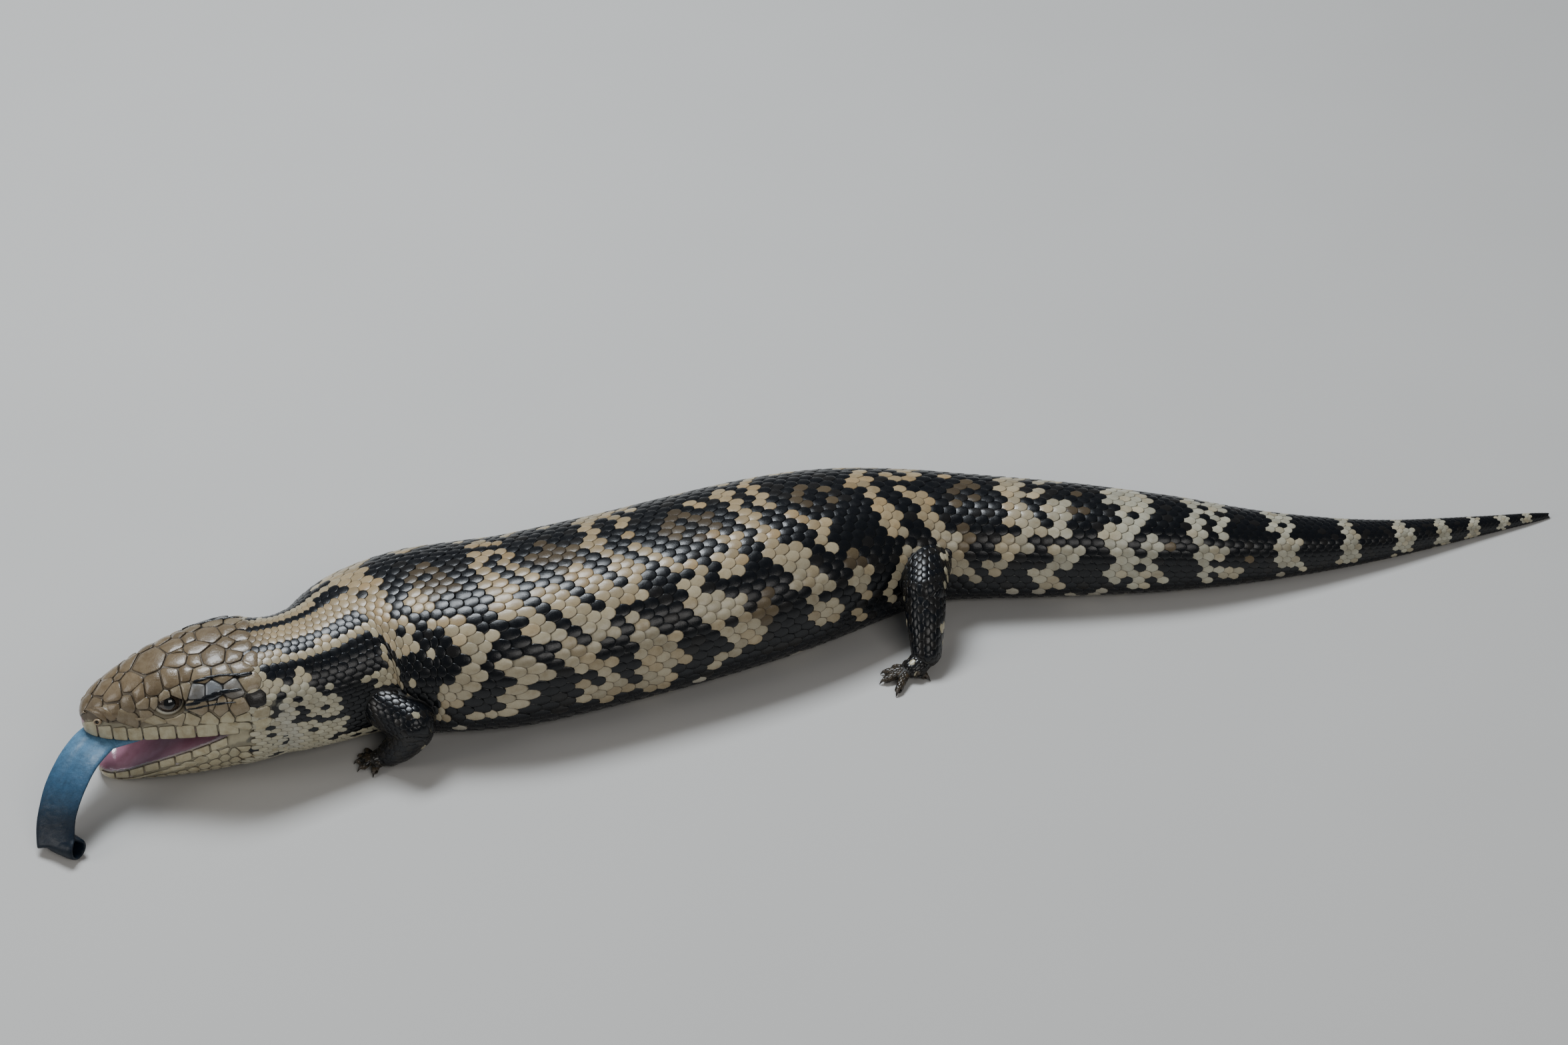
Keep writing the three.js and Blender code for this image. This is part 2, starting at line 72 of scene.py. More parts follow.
# Distance from the snout: half width at the lip, top, squareness, share of the width kept at the top.
HEAD_SIZES = np.array([
    (0, 2.6, 25.4, 2.2, 1), (1, 4.8, 27.8, 2.2, 1), (3, 7.1, 29.8, 2.3, 0.98), (6, 9.3, 32.1, 2.5, 0.94),
    (10, 11.2, 34.8, 2.6, 0.9), (16, 13.4, 38, 2.8, 0.85), (22, 15.4, 40.5, 3, 0.82),
    (28, 17.4, 41.9, 3, 0.84), (35, 19.6, 42.5, 3, 0.9), (42, 21.4, 42.7, 2.9, 0.94),
    (48, 22.2, 42.4, 2.8, 0.97), (54, 21.9, 42.1, 2.5, 1), (58, 21.4, 41.9, 2.35, 1),
])
LIP_HEIGHTS = np.array([(0, 21.3), (12, 21.4), (24, 22.4), (35, 23.6), (45, 24.6), (58, 24.6)])

# Distance from the snout: half width, underside, squareness.
JAW_START, JAW_TIP_HEIGHT, JAW_SLOPE = 2.6, 4.6, 0.469
JAW_SIZES = np.array([
    (2.6, 2.8, 1.4, 2), (3.7, 5.4, 0.9, 2.05), (6, 8.3, 0.7, 2.15), (9, 10.2, 0.6, 2.2),
    (12, 11.7, 0.6, 2.25), (18, 13.9, 0.6, 2.3), (25, 16.5, 0.7, 2.35), (35, 19.5, 1.1, 2.4),
    (45, 21.4, 2.4, 2.55), (52, 21.8, 3.7, 2.7), (58, 21.4, 4.8, 2.8),
])
MOUTH_CORNER, LIP_WIDTH = 45.0, 1.9
EYE_ALONG, EYE_SIDE, EYE_HEIGHT, EYE_RADIUS = 26.5, 9.7, 31.9, 4.6


def size_at(rows, place, column):
    """One column of a table at places along it, on a smooth curve that never overshoots."""
    x, y = rows[:, 0], rows[:, column]
    rise = np.diff(y) / np.diff(x)
    slope = np.concatenate([[rise[0]], np.zeros(len(x) - 2), [rise[-1]]])
    a, b = rise[:-1], rise[1:]
    same = a * b > 0
    slope[1:-1][same] = 2 * a[same] * b[same] / (a[same] + b[same])
    place = np.clip(np.asarray(place, float), x[0], x[-1])
    i = np.clip(np.searchsorted(x, place) - 1, 0, len(x) - 2)
    width = x[i + 1] - x[i]
    t = (place - x[i]) / width
    h = 2 * t ** 3 - 3 * t ** 2 + 1
    return (h * y[i] + (t ** 3 - 2 * t ** 2 + t) * width * slope[i]
            + (1 - h) * y[i + 1] + (t ** 3 - t ** 2) * width * slope[i + 1])


def smooth(value, low, high):
    t = np.clip((np.asarray(value, float) - low) / (high - low), 0, 1)
    return t * t * (3 - 2 * t)


def mix(a, b, share):
    return a + (b - a) * share


class Spine:
    """The line of the back in plan, walked by length."""

    def __init__(self, points):
        p = np.array(points, float)
        p = np.vstack([2 * p[0] - p[1], p, 2 * p[-1] - p[-2]])
        walk = []
        for i in range(len(p) - 3):
            a, b, c, d = p[i:i + 4]
            u, v = (c - a) / 2, (d - b) / 2
            w = np.linspace(0, 1, 60, endpoint=False)[:, None]
            walk.append((2 * b - 2 * c + u + v) * w ** 3 + (-3 * b + 3 * c - 2 * u - v) * w ** 2 + u * w + b)
        self.walk = np.vstack([*walk, p[-2]])
        self.length = np.concatenate([[0], np.cumsum(np.linalg.norm(np.diff(self.walk, axis=0), axis=1))])

    def at(self, place):
        place = np.asarray(place, float)
        over = np.maximum(place - self.length[-1], 0)[..., None]
        under = np.minimum(place, 0)[..., None]
        end = self.walk[-1] - self.walk[-2]
        start = self.walk[1] - self.walk[0]
        base = np.stack([np.interp(place, self.length, self.walk[:, k]) for k in (0, 1)], -1)
        return base + over * end / np.linalg.norm(end) + under * start / np.linalg.norm(start)

    def left(self, place):
        step = self.at(np.asarray(place, float) + 1) - self.at(np.asarray(place, float) - 1)
        step /= np.linalg.norm(step, axis=-1)[..., None]
        return np.stack([step[..., 1], -step[..., 0]], -1)

    def point(self, place, side, height):
        flat = self.at(place) + np.asarray(side, float)[..., None] * self.left(place)
        height = np.broadcast_to(np.asarray(height, float), flat.shape[:-1])
        return np.concatenate([flat, height[..., None]], -1)


spine = Spine(SPINE_POINTS)


def rounded(angle, squareness):
    """Side and height shares of a rounded section."""
    c, s = np.cos(angle), np.sin(angle)
    return np.sign(c) * np.abs(c) ** (2 / squareness), np.sign(s) * np.abs(s) ** (2 / squareness)


# Surfaces: a place along and a turn round give a point

class Sheet:
    """A surface stored as a grid: `places` along it and turns from -1 to 1 round it."""

    def __init__(self, places, curves, closed, turns=181):
        """curves: for each place, an array of points from turn -1 to turn 1, of any spacing."""
        self.places = np.asarray(places, float)
        self.turns = np.linspace(-1, 1, turns)
        self.closed = closed
        grid, half = [], []
        for curve in curves:
            length = np.concatenate([[0], np.cumsum(np.linalg.norm(np.diff(curve, axis=0), axis=1))])
            centre = length[len(length) // 2]
            share = np.where(length < centre, length / centre - 1, (length - centre) / (length[-1] - centre))
            grid.append(np.stack([np.interp(self.turns, share, curve[:, k]) for k in range(3)], -1))
            half.append(length[-1] / 2)
        self.grid = np.array(grid)
        self.half = np.array(half)
        along = np.gradient(self.grid, axis=0)
        if closed:
            padded = np.concatenate([self.grid[:, -3:-1], self.grid, self.grid[:, 1:3]], 1)
            round_it = np.gradient(padded, axis=1)[:, 2:-2]
        else:
            round_it = np.gradient(self.grid, axis=1)
        normal = np.cross(along, round_it)
        self.normal = normal / np.maximum(np.linalg.norm(normal, axis=-1)[..., None], 1e-9)
        mid = self.grid.mean(axis=1)[:, None]
        self.hand = 1
        if ((self.grid - mid) * self.normal).sum() < 0:
            self.normal, self.hand = -self.normal, -1

    def half_length(self, place):
        return np.interp(place, self.places, self.half)

    def at(self, place, turn):
        """Points and outward normals."""
        if self.closed:
            turn = (np.asarray(turn) + 1) % 2 - 1
        else:
            turn = np.clip(turn, -1, 1)
        i = np.clip(np.interp(place, self.places, np.arange(len(self.places))), 0, len(self.places) - 1.001)
        j = np.clip((turn + 1) / 2 * (len(self.turns) - 1), 0, len(self.turns) - 1.001)
        a, b = i.astype(int), j.astype(int)
        u, v = (i - a)[..., None], (j - b)[..., None]

        def blend(table):
            return ((1 - u) * (1 - v) * table[a, b] + u * (1 - v) * table[a + 1, b]
                    + (1 - u) * v * table[a, b + 1] + u * v * table[a + 1, b + 1])
        normal = blend(self.normal)
        return blend(self.grid), normal / np.maximum(np.linalg.norm(normal, axis=-1)[..., None], 1e-9)


def body_curve(place, count=240):
    """The closed section of body or closed rear of the head, from mid belly over the back to mid belly."""
    angle = math.pi / 2 - math.pi * np.linspace(-1, 1, count + 1)
    s = float(place)
    blend = float(smooth(s, 54, 66))
    lift, height = float(size_at(BODY_SIZES, s, 3)), float(size_at(BODY_SIZES, s, 2))
    body_waist = lift + WIDEST * height
    lip = float(size_at(LIP_HEIGHTS, s, 1))
    if s < 66:
        top = mix(float(size_at(HEAD_SIZES, s, 2)), lift + height, smooth(s, 56, 60))
        under = mix(float(size_at(JAW_SIZES, s, 2)), lift, smooth(s, 56, 60))
        wide = mix(float(size_at(HEAD_SIZES, s, 1)), float(size_at(BODY_SIZES, s, 1)), smooth(s, 56, 60))
        waist = mix(lip, body_waist, blend)
        over = mix(float(size_at(HEAD_SIZES, s, 3)), BACK_SQUARENESS, blend)
        below = mix(float(size_at(JAW_SIZES, s, 3)), BELLY_SQUARENESS, blend)
    else:
        top, under, wide = lift + height, lift, float(size_at(BODY_SIZES, s, 1))
        waist, over, below = body_waist, BACK_SQUARENESS, BELLY_SQUARENESS
    upper = np.sin(angle) >= 0
    cu, su = rounded(angle, over)
    cl, sl = rounded(angle, below)
    side = np.where(upper, cu, cl) * wide
    z = np.where(upper, waist + su * (top - waist), waist + sl * (waist - under))
    return spine.point(np.full(len(angle), s), side, np.maximum(z, 0.0))


def head_curve(d, count=160):
    """The upper head from the right lip over the top to the left lip."""
    wide, top, squareness, kept = (float(size_at(HEAD_SIZES, d, k)) for k in (1, 2, 3, 4))
    lip = float(size_at(LIP_HEIGHTS, d, 1))
    angle = math.pi / 2 - math.pi / 2 * np.linspace(-1, 1, count + 1)
    c, s = rounded(angle, squareness)
    return spine.point(np.full(len(angle), float(d)), c * wide * (1 - (1 - kept) * s), lip + s * (top - lip))


def rim_height(d):
    return np.minimum(JAW_TIP_HEIGHT + (np.asarray(d) - JAW_START) * JAW_SLOPE,
        size_at(LIP_HEIGHTS, d, 1) - 0.3)


def jaw_curve(d, count=160):
    """The lower jaw from its right rim under the chin to its left rim."""
    wide, under, squareness = (float(size_at(JAW_SIZES, d, k)) for k in (1, 2, 3))
    rim = float(rim_height(d))
    angle = -math.pi / 2 + math.pi / 2 * np.linspace(-1, 1, count + 1)
    c, s = rounded(angle, squareness)
    return spine.point(np.full(len(angle), float(d)), c * wide, rim + s * (rim - under))


body_places = np.concatenate([np.arange(44, 120, 1.0), np.arange(120, 400, 2.0), np.arange(400, 503.5, 1.0)])
body = Sheet(body_places, [body_curve(p) for p in body_places], closed=True)
head_places = np.concatenate([np.linspace(0, 4, 9), np.arange(5, 58.5, 1.0)])
head = Sheet(head_places, [head_curve(d) for d in head_places], closed=False)
jaw_places = np.concatenate([np.linspace(JAW_START, 6, 8), np.arange(7, 58.5, 1.0)])
jaw = Sheet(jaw_places, [jaw_curve(d) for d in jaw_places], closed=False)


# Limbs: stations of a middle point and a radius, as in the solids

LIMBS = {
    "front_left": dict(
        upper=[((-131, -106, 19), 7.4), ((-124, -115.5, 18.5), 7), ((-115, -121.2, 16), 7.2)],
        lower=[((-115, -121.6, 13.5), 6.5), ((-118.5, -122.4, 8.5), 5.3), ((-122.5, -122.4, 4.6), 4.1)],
        wrist=(-122.5, -122.4, 4), palm=(-126, -122.3, 2.8), thickness=2, claw=1.9, side=-1,
        tips=[(-131.5, -116.2), (-133.6, -119.2), (-134.3, -122.6), (-132.8, -126.4), (-127.6, -129)]),
    "front_right": dict(
        upper=[((-128, -80, 19), 7.4), ((-130, -68, 18), 7), ((-126, -57, 15.5), 7)],
        lower=[((-126, -56, 13.5), 6.4), ((-132, -53.5, 8.5), 5.2), ((-139, -52, 4.6), 4.1)],
        wrist=(-139, -52, 4), palm=(-143.5, -51.5, 2.8), thickness=2, claw=1.9, side=1,
        tips=[(-146, -58), (-150, -55), (-151.5, -51.2), (-150, -47.2), (-145, -44.6)]),
    "hind_left": dict(
        upper=[((47, -42, 19), 8.6), ((46, -52, 20.5), 8), ((45.6, -60.5, 19.5), 7.2)],
        lower=[((45.6, -61.5, 18), 6.8), ((45.8, -69, 12.5), 6), ((46, -75.5, 6), 4.8)],
        wrist=(46, -76.2, 4.4), palm=(41.5, -80, 3), thickness=2.2, claw=2.2, side=-1,
        tips=[(34.5, -76.6), (31, -79.8), (30.6, -84.8), (35.8, -91), (47.2, -83.2)]),
    "hind_right": dict(
        upper=[((46, -14, 14), 8.2), ((41, -4, 12.5), 7.4), ((33, 3.5, 10.5), 6.6)],
        lower=[((34, 5, 9.5), 6.2), ((41, 9.5, 7.6), 5.4), ((47.5, 12.5, 5.2), 4.5)],
        wrist=(47, 13.4, 4.2), palm=(42.5, 16.4, 3), thickness=2.2, claw=2.2, side=1,
        tips=[(35, 12.4), (31.8, 15.8), (31.4, 20.2), (35.6, 25.4), (47, 22.8)]),
}


def curve_through(points, steps):
    """A smooth curve through points, each span walked in equal steps."""
    p = np.array(points, float)
    p = np.vstack([2 * p[0] - p[1], p, 2 * p[-1] - p[-2]])
    out = []
    for i in range(len(p) - 3):
        a, b, c, d = p[i:i + 4]
        w = np.linspace(0, 1, steps, endpoint=False)[:, None]
        u, v = (c - a) / 2, (d - b) / 2
        out.append((2 * b - 2 * c + u + v) * w ** 3 + (-3 * b + 3 * c - 2 * u - v) * w ** 2 + u * w + b)
    return np.vstack([*out, p[-2]])


def unit(v):
    return v / np.maximum(np.linalg.norm(v, axis=-1)[..., None], 1e-9)


def tube(stations, steps=8, flat=1.0, faces=48, ends=True):
    """Rings of a rounded limb length; returns the rings and the middle point of each."""
    centres = curve_through([p for p, _ in stations], steps)
    radii = np.interp(np.linspace(0, len(stations) - 1, len(centres)), range(len(stations)),
        [r for _, r in stations])
    along = unit(np.gradient(centres, axis=0))
    if ends:
        cap = np.array([0.15, 0.45, 0.75, 0.93])
        back = [centres[0] - along[0] * radii[0] * math.sqrt(1 - c * c) for c in cap]
        ahead = [centres[-1] + along[-1] * radii[-1] * math.sqrt(1 - c * c) for c in cap[::-1]]
        centres = np.vstack([back, centres, ahead])
        along = np.vstack([np.repeat(along[:1], 4, 0), along, np.repeat(along[-1:], 4, 0)])
        radii = np.concatenate([radii[0] * cap, radii, radii[-1] * cap[::-1]])
    side = unit(np.cross((0, 0, 1.0), along) + 1e-6)
    up = np.cross(along, side)
    angle = math.pi * np.linspace(-1, 1, faces + 1)
    ring = (centres[:, None] + radii[:, None, None] * (
        np.sin(angle)[None, :, None] * side[:, None] + flat * np.cos(angle)[None, :, None] * up[:, None]))
    ring[..., 2] = np.maximum(ring[..., 2], 0)
    return ring, centres


def digit_stations(limb, index):
    """Root, knuckle and end of one digit, then the base, middle and point of its claw."""
    wrist, palm = np.array(limb["wrist"], float), np.array(limb["palm"], float)
    tip = np.array(limb["tips"][index], float)
    thick, claw = limb["thickness"], limb["claw"]
    across = unit(np.array([wrist[1] - palm[1], palm[0] - wrist[0], 0.0]))
    root = palm + across * limb["side"] * (index / 2 - 1) * thick * 1.3
    root[2] = palm[2] * 0.75 + 0.3
    reach = unit(tip - root[:2])
    length = float(np.linalg.norm(tip - root[:2]))
    r = thick * 0.6

    def on_reach(back, z):
        return (*(tip - reach * back), z)
    flesh = [(tuple(root), r * 1.15), (on_reach(claw + (length - claw) * 0.5, r + 0.9), r),
        (on_reach(claw + 0.2, r), r * 0.85)]
    horn = [(on_reach(claw + 0.9, r * 1.15), r * 0.55), (on_reach(claw * 0.62, r * 1.15), r * 0.42),
        (on_reach(0.1, 0.22), 0.1)]
    return flesh, horn


def palm_stations(limb):
    wrist, palm, thick = np.array(limb["wrist"], float), np.array(limb["palm"], float), limb["thickness"]
    return [(tuple(wrist), thick * 1.45), (tuple(wrist + (palm - wrist) * 0.6), thick * 1.75),
        (tuple(palm), thick * 1.5)]


# Building meshes

def mesh_object(name, points, faces, smooth_faces=True):
    """points in millimetres in the plan of the tables; faces as an array of quads or a list."""
    mesh = bpy.data.meshes.new(name)
    points = (np.asarray(points, float) - MIDDLE) * 0.001
    faces = faces if isinstance(faces, list) else [faces]
    faces = [np.asarray(f, np.int64) for f in faces]
    loops = np.concatenate([f.reshape(-1) for f in faces])
    counts = np.concatenate([np.full(len(f), f.shape[1]) for f in faces])
    mesh.vertices.add(len(points))
    mesh.vertices.foreach_set("co", points.reshape(-1))
    mesh.loops.add(len(loops))
    mesh.loops.foreach_set("vertex_index", loops)
    mesh.polygons.add(len(counts))
    mesh.polygons.foreach_set("loop_start", np.concatenate([[0], np.cumsum(counts)[:-1]]))
    mesh.polygons.foreach_set("loop_total", counts)
    mesh.update(calc_edges=True)
    mesh.validate()
    if smooth_faces:
        mesh.shade_smooth()
    thing = bpy.data.objects.new(name, mesh)
    bpy.context.scene.collection.objects.link(thing)
    return thing


def loft_faces(rings, around, offset=0):
    """Quads between rings of `around` points, and fans on both ends; two middle points follow the rings."""
    i, k = np.meshgrid(np.arange(rings - 1), np.arange(around), indexing="ij")
    a, b = i * around + k, i * around + (k + 1) % around
    quads = np.stack([a, b, b + around, a + around], -1).reshape(-1, 4) + offset
    k = np.arange(around)
    first, last = rings * around, rings * around + 1
    start = np.stack([np.full(around, first), (k + 1) % around, k], -1) + offset
    top = (rings - 1) * around
    end = np.stack([np.full(around, last), top + k, top + (k + 1) % around], -1) + offset
    return quads, np.vstack([start, end])


def closed_loft(ring_points):
    """Points and faces of a closed loft through an array of rings (rings, around, 3)."""
    rings, around = ring_points.shape[:2]
    quads, fans = loft_faces(rings, around)
    points = np.vstack([ring_points.reshape(-1, 3), ring_points[0].mean(0), ring_points[-1].mean(0)])
    return points, quads, fans


def gather(parts):
    """Joins several (points, quads, fans) into one."""
    points, quads, fans, total = [], [], [], 0
    for p, q, f in parts:
        points.append(p)
        quads.append(q + total)
        fans.append(f + total)
        total += len(p)
    return np.vstack(points), [np.vstack(quads), np.vstack(fans)]


def set_point_colour(mesh, name, colours):
    colours = np.clip(np.asarray(colours, float), 0, 1)
    if colours.shape[1] == 3:
        colours = np.hstack([colours, np.ones((len(colours), 1))])
    layer = mesh.attributes.new(name, "FLOAT_COLOR", "POINT")
    layer.data.foreach_set("color", colours.astype(np.float32).reshape(-1))


def set_point_value(mesh, name, values):
    layer = mesh.attributes.new(name, "FLOAT", "POINT")
    layer.data.foreach_set("value", np.asarray(values, np.float32))


def set_root_map(mesh, spots):
    """The map of each point's root on an unwrap of the skin."""
    layer = mesh.uv_layers.new(name="OFBake")
    index = np.empty(len(mesh.loops), np.int64)
    mesh.loops.foreach_get("vertex_index", index)
    layer.data.foreach_set("uv", spots[index].astype(np.float32).reshape(-1))


def set_small_map(mesh, corner, size, draw):
    """A root map that keeps a small piece within one little patch."""
    shift = size * hashed(np.arange(len(mesh.vertices)), draw)
    set_root_map(mesh, np.tile(corner, (len(shift), 1)) + np.stack([shift] * 2, -1))


# Even noise, the same each time

def hashed(*cells):
    """A number from 0 to 1 for each set of whole numbers."""
    total = np.zeros(np.broadcast(*cells).shape)
    for k, cell in enumerate(cells):
        total = total + np.asarray(cell, float) * (12.9898 + 65.233 * k)
    return np.abs(np.sin(total) * 43758.5453) % 1


def noise2(x, y, seed=0):
    """Smooth noise from 0 to 1."""
    x, y = np.asarray(x, float), np.asarray(y, float)
    i, j = np.floor(x), np.floor(y)
    u, v = x - i, y - j
    u, v = u * u * (3 - 2 * u), v * v * (3 - 2 * v)
    a, b = hashed(i, j, seed), hashed(i + 1, j, seed)
    c, d = hashed(i, j + 1, seed), hashed(i + 1, j + 1, seed)
    return (a * (1 - u) + b * u) * (1 - v) + (c * (1 - u) + d * u) * v


# Markings

BLACK = np.array([0.0026, 0.0034, 0.005])
SOOT = np.array([0.0085, 0.008, 0.0078])
OLIVE = np.array([0.1, 0.074, 0.045])
TAN = np.array([0.335, 0.256, 0.148])
FLANK = np.array([0.38, 0.335, 0.235])
PALE = np.array([0.43, 0.42, 0.335])
CREAM = np.array([0.47, 0.43, 0.305])
LIP_CREAM = np.array([0.43, 0.39, 0.265])
BELLY = np.array([0.45, 0.42, 0.34])
# Grey of the shields behind the eye; its faint blue tint is a painted sheen.
GREY_WITH_PAINTED_SHEEN = np.array([0.165, 0.175, 0.185])
HEAD_TAN = np.array([0.172, 0.13, 0.08])

# Light markings of one side: each runs down from the back as (turn, distance from the snout, half length).
LIGHT_CHAINS = [
    [(0, 93, 5), (0.06, 95, 5), (0.12, 94, 6), (0.2, 96, 7), (0.26, 99, 7), (0.34, 93, 8), (0.38, 90, 5)],
    [(0.1, 108, 3), (0.16, 113, 5), (0.22, 120, 5), (0.28, 124, 4), (0.34, 125, 4), (0.42, 121, 6),
    (0.47, 118, 6), (0.53, 112, 4)],
    [(0.42, 97, 5), (0.48, 95, 4)],
    [(0, 130, 2.6), (0.05, 131.5, 3), (0.1, 134, 3.5), (0.17, 137, 4), (0.25, 141, 4.5), (0.33, 146, 4),
    (0.38, 148, 3)],
    [(0.39, 140, 3), (0.47, 138, 4.5), (0.5, 136, 2), (0.56, 128, 5)],
    [(0, 139, 2.6), (0.05, 142, 2.6), (0.1, 146, 3), (0.17, 149, 4), (0.25, 155, 4), (0.36, 155, 3.5),
    (0.44, 158, 4.5), (0.56, 155, 5)],
    [(0.1, 158, 3), (0.18, 163, 4), (0.26, 165, 4), (0.3, 162, 2)],
    [(0, 168, 2.8), (0.05, 172, 4), (0.12, 174, 4), (0.2, 177, 3.5), (0.28, 170, 3), (0.35, 172, 3.5),
    (0.43, 176, 5), (0.55, 175, 8)],
    [(0, 179.5, 2.6), (0.06, 180, 3.5), (0.15, 188, 3), (0.22, 192, 5), (0.3, 195, 7), (0.38, 196, 6),
    (0.47, 204, 4), (0.55, 196, 5)],
    [(0.1, 206, 3), (0.16, 206, 4), (0.24, 204, 4), (0.3, 203, 3)],
    [(0, 216.5, 3.4), (0.05, 218.5, 3.5), (0.1, 219.5, 3), (0.15, 221, 5), (0.22, 223, 5), (0.3, 225, 5),
    (0.36, 230, 4), (0.48, 232, 4)],
    [(0, 226.5, 2.6), (0.03, 227, 2), (0.08, 231, 2), (0.14, 236, 3.5), (0.2, 238, 4), (0.26, 240, 2)],
    [(0.4, 247, 4), (0.48, 248, 4), (0.54, 244, 5)],
    [(0, 262.5, 3.4), (0.06, 264, 4.5), (0.13, 265, 6), (0.2, 266, 5), (0.26, 270, 4), (0.3, 276, 2)],
    [(0.36, 269, 5), (0.4, 268, 5), (0.43, 262, 3), (0.48, 259, 4)],
    [(0, 274, 3.4), (0.05, 278, 3), (0.12, 280, 4), (0.2, 281, 4), (0.28, 284, 5), (0.34, 288, 5),
    (0.46, 292, 4), (0.56, 303, 3)],
    [(0, 309, 3.6), (0.05, 311, 4.4), (0.12, 313, 3), (0.2, 314, 4), (0.28, 314, 3.5), (0.4, 308, 3.5),
    (0.5, 302, 3)],
    [(0, 319.5, 2.4), (0.04, 325, 3), (0.16, 326, 3.5), (0.24, 326, 3.5), (0.3, 327, 2.8), (0.38, 329, 4.5),
    (0.5, 320, 3.5), (0.56, 323, 4)],
    [(0, 344.5, 2.6), (0.06, 348, 2.6), (0.14, 348, 2.8), (0.24, 347, 4), (0.32, 346, 3.5), (0.4, 347, 4.5),
    (0.5, 346, 4), (0.6, 350, 4)],
    [(0, 352, 3.2), (0.05, 353, 3), (0.2, 354, 1.5), (0.35, 357, 2.5), (0.45, 352, 3.5), (0.56, 357, 3)],
    [(0, 371.5, 2.6), (0.16, 372, 2.2), (0.28, 371, 3), (0.36, 373, 4), (0.46, 375, 3), (0.58, 379, 4)],
    [(0, 379, 3.6), (0.05, 380, 2.4), (0.16, 380, 2.2), (0.28, 378, 2.6), (0.4, 378, 2), (0.58, 384, 3)],
    [(0, 398.5, 1.8), (0.1, 400, 2), (0.25, 400, 3), (0.4, 402, 3.6), (0.58, 404, 3)],
    [(0, 403.5, 2), (0.1, 404, 2.2), (0.2, 402, 1.5), (0.3, 405, 2)],
    [(0, 424.5, 2), (0.1, 425, 2.4), (0.3, 424.5, 3), (0.6, 423, 3)],
    [(0, 444, 2.2), (0.2, 445, 2.8), (0.6, 444, 3)],
    [(0, 460, 1.7), (0.6, 459.5, 2.4)], [(0, 472.5, 1.5), (0.6, 472, 2)], [(0, 484, 1.4), (0.6, 483, 1.8)],
    [(0, 493, 1.2), (0.6, 493, 1.5)],
]
# Brown patches: distance from the snout, turn, half length, half turn, share of brown scales.
BROWN_PATCHES = [
    (114, 0, 11, 0.12, 0.7), (154, 0, 9, 0.12, 0.75), (198, 0, 12, 0.12, 0.75), (243, 0, 9, 0.12, 0.6),
    (293, 0, 8, 0.14, 0.5),
    (212, 0.39, 5, 0.07, 0.85), (245, 0.35, 5, 0.08, 0.85), (294, 0.3, 4.5, 0.08, 0.9),
    (360, 0.36, 5, 0.08, 0.5),
    (332, 0.05, 5, 0.2, 0.2), (389, 0.4, 3, 0.06, 0.7),
]


def chain_share(place, turn):
    """How far inside a light marking each place is: above 0 inside."""
    round_it = np.where(turn < 0, np.maximum(-turn - 0.16, 0) * 1.19, turn)
    place = place + np.where(turn < -0.2, 5 * (noise2(place / 23, turn * 4, 2) - 0.4), 0)
    place = place + 1.6 * (noise2(place / 6.5, turn * 17, 12) - 0.5)
    full = 1.06 + 0.2 * smooth(turn, 0.1, 0.25) + 0.1 * smooth(place, 290, 330)
    inside = np.full(np.broadcast(place, turn).shape, -1.0)
    for chain in LIGHT_CHAINS:
        t, centre, half = np.array(chain, float).T
        middle, reach = np.interp(round_it, t, centre), np.interp(round_it, t, half)
        past = np.maximum(np.maximum(t[0] - 0.02 - round_it, round_it - t[-1] - 0.03), 0) * 40
        inside = np.maximum(inside, full - np.abs(place - middle) / reach - past)
    return inside


